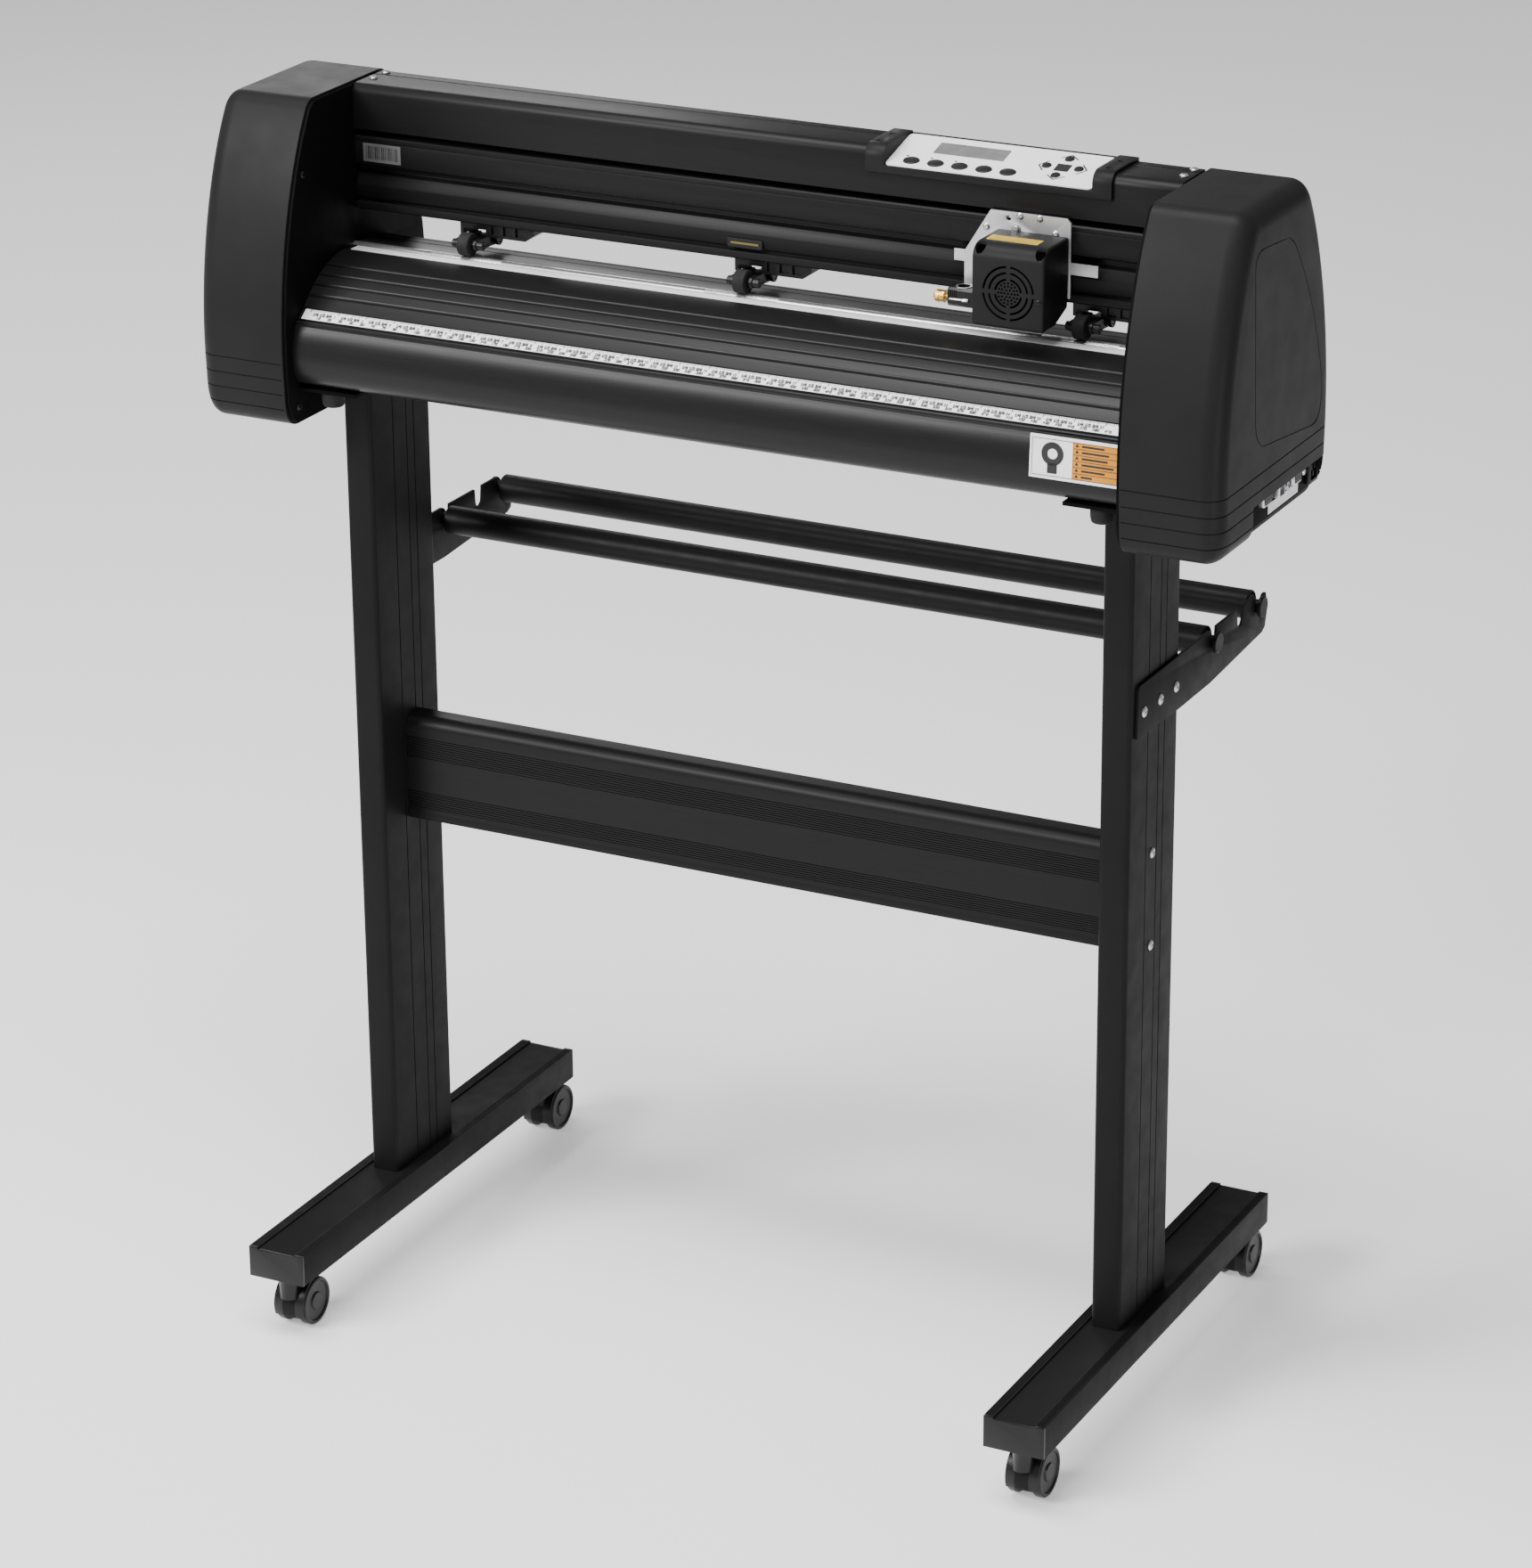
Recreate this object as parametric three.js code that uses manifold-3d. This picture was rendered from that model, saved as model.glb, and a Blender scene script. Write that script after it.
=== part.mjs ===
// A free-standing vinyl cutter: a roller-fed cutting machine on a two-post stand with casters.
// Units are millimetres, +X is the machine's right, +Y its back and +Z is up. Every drawing below is made
// with Y measured from the middle of the posts. The last lines move the whole object so that its origin is
// on the floor under the middle of its box.
import * as THREE from 'three';
import { mergeVertices } from 'three/addons/utils/BufferGeometryUtils.js';
import Module from 'manifold-3d';

const wasm = await Module();
wasm.setup();

// ---------------------------------------------------------------- driving dimensions
const GAP = 0.3;                 // clearance between separate pieces that lie face to face
const INNER_HALF = 360;          // half the clear width between the end covers: a 720 mm machine
const COVER_WIDTH = 80;
const MACHINE_BOTTOM = 751.5;
const MACHINE_TOP = 1008.5;
const WALL = 3;                  // cover wall

const POST_X = 333;              // post centre line
const POST_WIDTH = 25;
const POST_DEPTH = 94.6;
const POST_TOP = 778.7;
const POST_GROOVE_YS = [-12.5, 8.5, 20];
const FOOT = { width: 51.5, front: -223.1, back: 237, bottom: 52.6, top: 79.6, wall: 2.2, rim: 8.5, inset: 1.5 };

const CASTER_YS = [-204, 217];   // swivel axes, front and rear
const CASTER_TRAIL = 19;
const WHEEL_R = 20.5;
const WHEEL_DISC = [6.5, 15];    // inner and outer face of each of the two discs, from the caster's middle
const STEM_R = 5.5;

const STRETCHER = { front: -9, back: 13, bottom: 390, top: 480 };

const BRACKET_IN = POST_X + POST_WIDTH / 2 + GAP;
const BRACKET_OUT = BRACKET_IN + 2.5;
const ROLLER_Z = 611.5;
const MEDIA_ROLLER_YS = { front_media_roller: 110, rear_media_roller: 203 };
const SPARE_NOTCH_Y = 165.4;
const MEDIA_ROLLER_R = 11.9;
const ROLLER_PIN_R = 5.3;

const SHAFT_Y = 0;               // grit shaft axis
const SHAFT_Z = 872.5;
const SHAFT_R = 6.5;
const PLATEN_TOP = 877.5;
const STRIP_YS = [-18.6, -6.4];  // front and back edge of the cutting strip
const BODY_END = 356.7;          // half length of platen and beams, which stop at the side plates

const PINCH_XS = [-253, -7, 280];
const PINCH_R = 9.4;
const PINCH_Z = SHAFT_Z + SHAFT_R + PINCH_R + GAP;
const ARM_PIVOT = { y: 30, z: 887, r: 2.5 };

const BEAM = { front: 3, back: 50, top: 1007.7, bottom: 971, wall: 3 };
const RAIL = { front: 4, back: 50, top: 965.5, bottom: 905 };
const T_SLOT = { y: 27, neck: 3, half: 6, floor: 908.7, roof: 913.2 };

const BELT_Y = 26;               // middle between the two runs of the belt
const BELT_R = [7.4, 8.9];       // inner and outer radius where it wraps a pulley
const BELT_Z = [973, 979];
const DRIVE_X = 385;
const IDLER_X = -375;

const CONSOLE = { left: 114, right: 286, frontZ: 996, backZ: 1009, depth: 48, wing: 16, lip: 988.8 };
const OVERLAY = { thick: 1, trayTop: -1.3, trayBottom: -3.5, cutOut: -3.8 };
const KEY_HEIGHTS = [-0.7, 0.9];

const PLATE_FRONT = -1.2;
const PLATE_BACK = 0.8;
const HEAD = { left: 210.1, right: 269.6, front: -48, bottom: 894.8, top: 958 };
const TOOL = { x: 190, y: -17, screwZ: 904, plungerX: 236 };

// ---------------------------------------------------------------- solids
const material = (color, roughness, metalness) =>
  new THREE.MeshStandardMaterial({ color, roughness, metalness });

const finishes = {
  coat: () => material(0x1d1d1e, 0.55, 0.3),
  plastic: () => material(0x202021, 0.5, 0.0),
  darkPlastic: () => material(0x111112, 0.45, 0.0),
  anodised: () => material(0x1a1a1b, 0.38, 0.6),
  steel: () => material(0xc9cbcd, 0.3, 0.9),
  plate: () => material(0xb9bbbd, 0.4, 0.8),
  brass: () => material(0xc79a4b, 0.3, 0.9),
  rubber: () => material(0x161616, 0.85, 0.0),
  panel: () => material(0xdfe1e3, 0.45, 0.1),
  board: () => material(0x1f5c3a, 0.5, 0.0),
};

function toSolid(geometry) {
  const bare = geometry.clone();
  for (const name of Object.keys(bare.attributes)) {
    if (name !== 'position') bare.deleteAttribute(name);
  }
  const merged = mergeVertices(bare, 1e-4);
  const mesh = new wasm.Mesh({
    numProp: 3,
    vertProperties: new Float32Array(merged.attributes.position.array),
    triVerts: new Uint32Array(merged.index.array),
  });
  return new wasm.Manifold(mesh);
}

function toGeometry(solid) {
  const mesh = solid.getMesh();
  const geometry = new THREE.BufferGeometry();
  geometry.setAttribute('position', new THREE.BufferAttribute(new Float32Array(mesh.vertProperties), 3));
  geometry.setIndex(new THREE.BufferAttribute(new Uint32Array(mesh.triVerts), 1));
  return geometry;
}

const join = (...parts) => toGeometry(parts.map(toSolid).reduce((a, b) => a.add(b)));
const cut = (base, ...tools) =>
  toGeometry(tools.map(toSolid).reduce((a, b) => a.subtract(b), toSolid(base)));
const common = (a, b) => toGeometry(toSolid(a).intersect(toSolid(b)));

function box(x0, x1, y0, y1, z0, z1) {
  const shape = new THREE.BoxGeometry(x1 - x0, y1 - y0, z1 - z0);
  return shape.translate((x0 + x1) / 2, (y0 + y1) / 2, (z0 + z1) / 2);
}

const AXES = {
  x: [new THREE.Vector3(0, 1, 0), new THREE.Vector3(0, 0, 1), new THREE.Vector3(1, 0, 0)],
  y: [new THREE.Vector3(0, 0, 1), new THREE.Vector3(1, 0, 0), new THREE.Vector3(0, 1, 0)],
  z: [new THREE.Vector3(1, 0, 0), new THREE.Vector3(0, 1, 0), new THREE.Vector3(0, 0, 1)],
};

// A flat outline drawn in (y, z), (z, x) or (x, y) and pushed along X, Y or Z from one value to another.
// Each arc in the outline becomes twice as many straight pieces as there are segments.
function prism(axis, outline, from, to, segments = 4) {
  const shape = new THREE.ExtrudeGeometry(outline, {
    depth: to - from, bevelEnabled: false, curveSegments: segments,
  });
  shape.translate(0, 0, from);
  return shape.applyMatrix4(new THREE.Matrix4().makeBasis(...AXES[axis]));
}

function rod(axis, radius, from, to, a, b, sides = 20) {
  const outline = new THREE.Shape().absarc(a, b, radius, 0, 2 * Math.PI, false);
  return prism(axis, outline, from, to, sides / 2);
}

const polygon = (points) => new THREE.Shape(points.map(([a, b]) => new THREE.Vector2(a, b)));
const mirrored = (geometry) => toGeometry(toSolid(geometry).mirror([1, 0, 0]));

function roundedRect(a0, a1, b0, b1, r) {
  const shape = new THREE.Shape();
  shape.moveTo(a0 + r, b0);
  shape.lineTo(a1 - r, b0);
  shape.absarc(a1 - r, b0 + r, r, -Math.PI / 2, 0, false);
  shape.lineTo(a1, b1 - r);
  shape.absarc(a1 - r, b1 - r, r, 0, Math.PI / 2, false);
  shape.lineTo(a0 + r, b1);
  shape.absarc(a0 + r, b1 - r, r, Math.PI / 2, Math.PI, false);
  shape.lineTo(a0, b0 + r);
  shape.absarc(a0 + r, b0 + r, r, Math.PI, 1.5 * Math.PI, false);
  return shape;
}

const object = new THREE.Group();

function add(name, geometry, finish) {
  const mesh = new THREE.Mesh(geometry, finishes[finish]());
  mesh.name = name;
  object.add(mesh);
}

// ---------------------------------------------------------------- stand
function footBeam(x) {
  const { width, front, back, bottom, top, wall, rim, inset } = FOOT;
  const half = width / 2;
  const inside = box(x - half + wall, x + half - wall, front - 1, back + 1, bottom + wall, top - inset - wall);
  const panel = box(x - half + rim, x + half - rim, front - 1, back + 1, top - inset, top + 1);
  const stemHoles = CASTER_YS.map((y) => rod('z', STEM_R + GAP, bottom - 1, bottom + wall + 1, x, y, 16));
  return cut(box(x - half, x + half, front, back, bottom, top), inside, panel, ...stemHoles);
}

function post(x) {
  const w = POST_WIDTH / 2;
  const d = POST_DEPTH / 2;
  const foot = FOOT.top - FOOT.inset + GAP;
  const tube = prism('z', roundedRect(x - w, x + w, -d, d, 4), foot, POST_TOP, 2);
  const hollow = roundedRect(x - w + 2.4, x + w - 2.4, -d + 2.4, d - 2.4, 2);
  const inside = prism('z', hollow, foot - 1, POST_TOP + 1, 1);
  const grooves = POST_GROOVE_YS.flatMap((y) => [-1, 1].map((side) =>
    box(x + side * w - 0.8, x + side * w + 0.8, y - 0.6, y + 0.6, foot - 1, POST_TOP + 1)));
  return cut(tube, inside, ...grooves);
}

function stretcher() {
  const { front, back, bottom, top } = STRETCHER;
  const outline = new THREE.Shape();
  const r = 10;
  outline.moveTo(front, bottom);
  outline.lineTo(back, bottom);
  outline.lineTo(back, top);
  outline.lineTo(front + r, top);
  outline.absarc(front + r, top - r, r, Math.PI / 2, Math.PI, false);
  const end = POST_X - POST_WIDTH / 2 - GAP;
  const inside = box(-end - 1, end + 1, front + 3, back - 3, bottom + 3, top - 8);
  return cut(prism('x', outline, -end, end), inside);
}

function rollBracket() {
  const outline = polygon([
    [-40, 581], [42, 578.5], [105, 578.6], [213, 586], [219, 589], [224, 605], [219, 618], [214, 618],
    [203, 614], [197, 622.5], [-38.5, 623.5],
  ]);
  const notches = [...Object.values(MEDIA_ROLLER_YS), SPARE_NOTCH_Y].map((y) => {
    const r = ROLLER_PIN_R + GAP;
    const slot = new THREE.Shape();
    slot.moveTo(y + r, 640);
    slot.lineTo(y - r, 640);
    slot.absarc(y, ROLLER_Z, r, Math.PI, 2 * Math.PI, false);
    return prism('x', slot, BRACKET_IN - 1, BRACKET_OUT + 1, 5);
  });
  return cut(prism('x', outline, BRACKET_IN, BRACKET_OUT), ...notches);
}

function mediaRoller(y) {
  const half = 342;
  const capIn = 350;
  const capOut = 353.5;
  return join(
    rod('x', MEDIA_ROLLER_R, -half, half, y, ROLLER_Z, 28),
    rod('x', ROLLER_PIN_R, -capIn - 1, capIn + 1, y, ROLLER_Z, 20),
    rod('x', 8.5, -capOut, -capIn, y, ROLLER_Z, 20),
    rod('x', 8.5, capIn, capOut, y, ROLLER_Z, 20),
  );
}

// A sector of a ring, or of a disc when r0 is 0, about (cy, cz).
function sector(cy, cz, r0, r1, from, to) {
  const outline = new THREE.Shape();
  outline.absarc(cy, cz, r1, from, to, false);
  if (r0 > 0) outline.absarc(cy, cz, r0, to, from, true);
  else outline.lineTo(cy, cz);
  return outline;
}

function casterFork(x, y) {
  const cy = y + CASTER_TRAIL;
  const bodyHalf = 6;
  const hoodHalf = 14;
  const hoodR = [WHEEL_R + 0.6, WHEEL_R + 1.8];
  const top = Math.PI / 2;
  const hood = prism('x', sector(cy, WHEEL_R, ...hoodR, 0.9 * top, 2.25 * top), x - hoodHalf, x + hoodHalf, 6);
  const web = prism('x', sector(cy, WHEEL_R, 0, hoodR[1], 0.9 * top, 2.25 * top), x - bodyHalf, x + bodyHalf, 6);
  const hub = rod('x', 8, x - bodyHalf, x + bodyHalf, cy, WHEEL_R, 20);
  const socketTop = FOOT.bottom - 2.4;
  const socket = rod('z', 8.5, WHEEL_R + 6, socketTop, x, y, 20);
  const wheelRoom = [-1, 1].map((side) => {
    const reach = [side * (WHEEL_DISC[0] - 0.4), side * 20].sort((a, b) => a - b);
    return rod('x', hoodR[0], x + reach[0], x + reach[1], cy, WHEEL_R, 24);
  });
  const stem = rod('z', STEM_R, FOOT.bottom - 3, FOOT.bottom + 12, x, y, 16);
  return cut(join(hood, web, hub, cut(socket, ...wheelRoom), stem), rod('x', 3.3, x - 8, x + 8, cy, WHEEL_R, 16));
}

function casterWheels(x, y) {
  const cy = y + CASTER_TRAIL;
  const [inner, outer] = WHEEL_DISC;
  return join(
    rod('x', WHEEL_R, x - outer, x - inner, cy, WHEEL_R, 28),
    rod('x', WHEEL_R, x + inner, x + outer, cy, WHEEL_R, 28),
    rod('x', 3, x - inner - 1, x + inner + 1, cy, WHEEL_R, 16),
  );
}

// ---------------------------------------------------------------- end covers and side plates
// The cover's outline as points (y, z), counter-clockwise, drawn in towards its middle by an inset.
function coverOutline(inset = 0) {
  const middle = (MACHINE_TOP + MACHINE_BOTTOM) / 2;
  const halfHeight = MACHINE_TOP - middle;
  const halfDepth = 112;
  const side = new THREE.Path();
  side.moveTo(92, MACHINE_BOTTOM);
  side.quadraticCurveTo(109, MACHINE_BOTTOM + 0.5, 110.5, MACHINE_BOTTOM + 20);
  side.lineTo(halfDepth, 800);
  side.bezierCurveTo(114.5, 880, 90, 958, 64, 1000);
  side.quadraticCurveTo(59, MACHINE_TOP, 50, MACHINE_TOP);
  const half = side.getPoints(7);
  const ring = [...half, ...half.map((p) => new THREE.Vector2(-p.x, p.y)).reverse()];
  return ring.map((p) => new THREE.Vector2(
    p.x * (1 - inset / halfDepth),
    middle + (p.y - middle) * (1 - inset / halfHeight),
  ));
}

// A body that follows rings of (y, z) points placed at rising x values.
function loft(rings) {
  const count = rings[0].points.length;
  const positions = rings.flatMap(({ x, points }) => points.flatMap((p) => [x, p.x, p.y]));
  const index = [];
  for (let k = 0; k + 1 < rings.length; k += 1) {
    for (let i = 0; i < count; i += 1) {
      const j = (i + 1) % count;
      const a = k * count;
      const b = a + count;
      index.push(a + i, a + j, b + i, a + j, b + j, b + i);
    }
  }
  const last = (rings.length - 1) * count;
  for (const [a, b, c] of THREE.ShapeUtils.triangulateShape(rings[0].points, [])) {
    index.push(a, c, b);
    index.push(last + a, last + b, last + c);
  }
  const geometry = new THREE.BufferGeometry();
  geometry.setAttribute('position', new THREE.Float32BufferAttribute(positions, 3));
  geometry.setIndex(index);
  return geometry;
}

const COVER_OUT = INNER_HALF + COVER_WIDTH;
const COVER_EDGE = 17;           // radius of the cover's outer edge
const PORTS = { front: -45, back: 103, top: 782, panelIn: 428, panelOut: 430 };

function coverBody() {
  const rings = [{ x: INNER_HALF, points: coverOutline() }];
  for (const turn of [0, 0.25, 0.5, 0.75, 1]) {
    const a = turn * Math.PI / 2;
    const x = COVER_OUT - COVER_EDGE + COVER_EDGE * Math.sin(a);
    rings.push({ x, points: coverOutline(COVER_EDGE * (1 - Math.cos(a))) });
  }
  return loft(rings);
}

function coverHollow() {
  const rings = [[INNER_HALF - 1, 3], [423, 3], [430, 4.6], [434.5, 8], [437, 12]];
  return loft(rings.map(([x, inset]) => ({ x, points: coverOutline(inset) })));
}

const endCover = () => cut(coverBody(), coverHollow());

// The right cover has a recess low down in its outer wall, with a rim round it, for the port panel.
function coverWithPorts() {
  const { front, back, top, panelOut } = PORTS;
  const rim = common(coverBody(), box(panelOut + GAP, COVER_OUT, front - WALL, back + WALL, MACHINE_BOTTOM, top + WALL));
  const recess = box(panelOut, COVER_OUT + 1, front, back, MACHINE_BOTTOM - 1, top);
  return cut(join(endCover(), rim), recess);
}

function portPanel() {
  const { front, back, top, panelIn, panelOut } = PORTS;
  const bottom = 757;
  const outline = polygon([
    [front - 1.5, bottom], [back - 11, bottom], [back + 1, bottom + 15], [back + 1, top + 2], [front - 1.5, top + 2],
  ]);
  return prism('x', outline, panelIn, panelOut);
}

function sidePlate(extras) {
  const x0 = BODY_END + GAP;
  const x1 = INNER_HALF - GAP;
  const ring = coverOutline(2);
  const plate = loft([{ x: x0, points: ring }, { x: x1, points: ring }]);
  const flange = box(306, x0 + 1, -92, 92, POST_TOP + GAP, POST_TOP + GAP + WALL);
  const shaftHole = rod('x', SHAFT_R + 0.7, x0 - 1, x1 + 1, SHAFT_Y, SHAFT_Z);
  const beltSlot = box(x0 - 1, x1 + 1, 14, 38, 970, 982);
  return cut(join(plate, flange, ...extras), shaftHole, beltSlot);
}

// The ear is folded out of the left plate and carries the idler's pin. It is drawn at positive x.
function idlerEar() {
  const away = -IDLER_X;
  return join(
    box(INNER_HALF - GAP - 1, away + 8, BELT_Y - 9, BELT_Y + 9, 965.5, 967.5),
    rod('z', 3, 967, 982, away, BELT_Y, 16),
  );
}

// ---------------------------------------------------------------- platen, shaft and beams
function platen() {
  const channel = SHAFT_R + 0.9;
  const mouth = Math.asin((PLATEN_TOP - SHAFT_Z) / channel);
  const [stripFront, stripBack] = STRIP_YS;
  const bottom = 783;
  const outline = new THREE.Shape();
  outline.moveTo(-80, bottom);
  outline.lineTo(52, bottom);
  outline.lineTo(52, 872);
  outline.lineTo(14, PLATEN_TOP);
  outline.absarc(SHAFT_Y, SHAFT_Z, channel, mouth, Math.PI - mouth, true);
  outline.lineTo(stripBack, PLATEN_TOP);
  outline.lineTo(stripBack, PLATEN_TOP - 1);
  outline.lineTo(stripFront, PLATEN_TOP - 1);
  outline.lineTo(stripFront, PLATEN_TOP - 0.2);
  outline.quadraticCurveTo(-56, 874.5, -81.7, 845.5);
  outline.lineTo(-91.3, 838.6);
  outline.quadraticCurveTo(-100.5, 831, -101.8, 808);
  outline.quadraticCurveTo(-101.5, 783.5, -80, bottom);
  const hollow = new THREE.Shape();
  hollow.moveTo(-80, bottom + 3);
  hollow.lineTo(49, bottom + 3);
  hollow.lineTo(49, 868.5);
  hollow.lineTo(14, 873);
  hollow.lineTo(11, 862);
  hollow.lineTo(-11, 862);
  hollow.lineTo(-14, 873);
  hollow.quadraticCurveTo(-53, 871.5, -80, 842);
  hollow.lineTo(-88.8, 835.6);
  hollow.quadraticCurveTo(-97.5, 829, -98.6, 808);
  hollow.quadraticCurveTo(-98.5, 786.5, -80, bottom + 3);
  const ribGrooves = [[-45.6, 870.6], [-59.3, 863.9], [-71.3, 855.2]].map(([y, z]) =>
    box(-BODY_END - 1, BODY_END + 1, y - 0.7, y + 0.7, z, z + 5));
  const body = prism('x', outline, -BODY_END, BODY_END, 7);
  return cut(body, prism('x', hollow, -BODY_END - 1, BODY_END + 1, 5), ...ribGrooves);
}

function topBeam() {
  const { front, back, top, bottom, wall } = BEAM;
  const r = 8;
  const skirt = RAIL.top + GAP;
  const groove = { y: 38, half: 0.7, deep: 0.9 };
  const outline = new THREE.Shape();
  outline.moveTo(front, bottom);
  outline.lineTo(front + wall, bottom);
  outline.lineTo(front + wall, top - r);
  outline.lineTo(front + r, top - wall);
  outline.lineTo(back - wall, top - wall);
  outline.lineTo(back - wall, skirt);
  outline.lineTo(back, skirt);
  outline.lineTo(back, top);
  outline.lineTo(groove.y + groove.half, top);
  outline.lineTo(groove.y + groove.half, top - groove.deep);
  outline.lineTo(groove.y - groove.half, top - groove.deep);
  outline.lineTo(groove.y - groove.half, top);
  outline.absarc(front + r, top - r, r, Math.PI / 2, Math.PI, false);
  const { left, right } = CONSOLE;
  const recess = prism('x', consoleSection(OVERLAY.cutOut, 30, 30), left - 3.1, right + 3.1);
  return cut(prism('x', outline, -BODY_END, BODY_END), recess);
}

function railBeam() {
  const { front, back, top, bottom } = RAIL;
  const { y, neck, half, floor, roof } = T_SLOT;
  const outline = polygon([
    [back, bottom], [back, top], [front + 1, top], [front, top - 1], [front, 943], [12, 938], [9, 934],
    [front, 925], [7, 912], [3.5, 911], [3.5, 906.5], [5, bottom], [y - neck, bottom], [y - neck, floor],
    [y - half, floor], [y - half, roof], [y + half, roof], [y + half, floor], [y + neck, floor], [y + neck, bottom],
  ]);
  const inside = box(-BODY_END - 1, BODY_END + 1, 16, back - 3, 917, top - 3);
  return cut(prism('x', outline, -BODY_END, BODY_END), inside);
}

function gearOutline(teeth, module_, cy, cz, phase, cutBack) {
  const pitch = teeth * module_ / 2;
  const tip = pitch + 0.85 * module_;
  const root = pitch - 1.15 * module_;
  const step = 2 * Math.PI / teeth;
  const points = [];
  for (let k = 0; k < teeth; k += 1) {
    const at = phase + k * step;
    for (const [r, share] of [[root, -0.3], [tip, -0.13], [tip, 0.13], [root, 0.3]]) {
      const a = at + share * step * cutBack;
      points.push([cy + r * Math.cos(a), cz + r * Math.sin(a)]);
    }
  }
  return polygon(points);
}

const GEAR = { module: 1.25, teeth: 40, pinionTeeth: 16, x0: -374, x1: -366 };
const PINION = { y: 28, z: 851.5 };
const MOTOR_ANGLE = Math.atan2(PINION.z - SHAFT_Z, PINION.y - SHAFT_Y);
const MOTOR = { size: 42, length: 40, plate: 2, boreR: 3, shaftR: 2.5 };

function gritShaft() {
  const gear = gearOutline(GEAR.teeth, GEAR.module, SHAFT_Y, SHAFT_Z, MOTOR_ANGLE, 0.9);
  return join(rod('x', SHAFT_R, GEAR.x0 - 2, 370, SHAFT_Y, SHAFT_Z, 32), prism('x', gear, GEAR.x0, GEAR.x1));
}

function gritPinion() {
  const phase = MOTOR_ANGLE + Math.PI + Math.PI / GEAR.pinionTeeth;
  const teeth = gearOutline(GEAR.pinionTeeth, GEAR.module, PINION.y, PINION.z, phase, 0.9);
  const shaft = rod('x', MOTOR.shaftR, GEAR.x0 - 14, GEAR.x0 + 1, PINION.y, PINION.z, 16);
  return join(prism('x', teeth, GEAR.x0, GEAR.x1), shaft);
}

// A square motor standing on z = 0, with its mounting plate on top and the bore for its shaft.
function motorBody() {
  const { size, length, plate, boreR } = MOTOR;
  const half = size / 2;
  const body = prism('z', roundedRect(-half, half, -half, half, 4), 0, length, 1);
  const flange = prism('z', roundedRect(-half - 2, half + 2, -half - 2, half + 2, 3), length - 0.1, length + plate, 1);
  return cut(join(body, flange), rod('z', boreR, length - 12, length + plate + 1, 0, 0, 16));
}

// Three spacers hold the motor's plate off the side plate, clear of the gears.
function gritMotor() {
  const { length, plate } = MOTOR;
  const face = GEAR.x0 - 4;
  const body = motorBody().rotateY(Math.PI / 2).translate(face - length - plate, PINION.y, PINION.z);
  const spacers = [[20, 20], [20, -20], [-20, -20]].map(([dy, dz]) =>
    rod('x', 2.5, face - 1, -INNER_HALF - GAP, PINION.y + dy, PINION.z + dz, 12));
  return join(body, ...spacers);
}

function carriageMotor() {
  const { length, plate } = MOTOR;
  const top = 967;
  const body = motorBody().translate(DRIVE_X, BELT_Y, top - length - plate);
  return join(body, box(INNER_HALF, DRIVE_X - 20, BELT_Y - 12, BELT_Y + 12, top - plate, top));
}

function pulleyBody() {
  const [bottom, top] = BELT_Z;
  return join(
    rod('z', BELT_R[0] - GAP, bottom - 1.5, top + 1.5, 0, 0, 24),
    rod('z', 10, bottom - 1.5, bottom - GAP, 0, 0, 24),
    rod('z', 10, top + GAP, top + 1.5, 0, 0, 24),
  );
}

function drivePulley() {
  const shaft = rod('z', MOTOR.shaftR, BELT_Z[0] - 15, BELT_Z[0], 0, 0, 16);
  return join(pulleyBody(), shaft).translate(DRIVE_X, BELT_Y, 0);
}

function idlerPulley() {
  const bore = rod('z', 3.3, BELT_Z[0] - 4, BELT_Z[1] + 4, 0, 0, 16);
  return cut(pulleyBody(), bore).translate(IDLER_X, BELT_Y, 0);
}

function beltLoop(radius) {
  const outline = new THREE.Shape();
  outline.absarc(DRIVE_X, BELT_Y, radius, -Math.PI / 2, Math.PI / 2, false);
  outline.absarc(IDLER_X, BELT_Y, radius, Math.PI / 2, 1.5 * Math.PI, false);
  return outline;
}

function belt() {
  const inner = prism('z', beltLoop(BELT_R[0]), BELT_Z[0] - 1, BELT_Z[1] + 1, 8);
  return cut(prism('z', beltLoop(BELT_R[1]), ...BELT_Z, 8), inner);
}

// ---------------------------------------------------------------- carriage
// The plate, the bar across its back, and the arm that reaches through the slot to grip the belt.
function carriagePlate() {
  const outline = polygon([
    [909.6, 182.6], [936.7, 182.6], [971.3, 204], [971.3, 267], [968, 270.2], [909.6, 270.2],
  ]);
  const beltFront = BELT_Y - BELT_R[1] - GAP;
  return join(
    prism('y', outline, PLATE_FRONT, PLATE_BACK),
    box(173.3, 292, PLATE_BACK - 0.2, 2.4, 928, 937),
    box(215, 245, PLATE_BACK - 0.2, beltFront, 966.2, 970.2),
    box(215, 245, beltFront - 3, beltFront, 966.2, BELT_Z[1]),
  );
}

function headOutline(inset, back) {
  const { front, bottom, top } = HEAD;
  const r = 12;
  const outline = new THREE.Shape();
  outline.moveTo(front + inset, bottom - inset);
  outline.lineTo(-26, bottom - inset);
  outline.lineTo(-3 + back, 903.3 - inset);
  outline.lineTo(-1.5 + back, top - inset);
  outline.absarc(front + r, top - r, r - inset, Math.PI / 2, Math.PI, false);
  return outline;
}

function headCover() {
  const { left, right } = HEAD;
  const shell = prism('x', headOutline(0, 0), left, right);
  const inside = prism('x', headOutline(2, 4), left + 2, right - 2);
  const toolOpening = box(left - 1, left + 4, -26, -8, 893, 918);
  return cut(shell, inside, toolOpening);
}

function liftSolenoid() {
  const { plungerX, y } = TOOL;
  return cut(box(plungerX - 14, plungerX + 14, -32, PLATE_FRONT - GAP, 926, 951), rod('z', 3.4, 925, 947, plungerX, y, 16));
}

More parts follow.
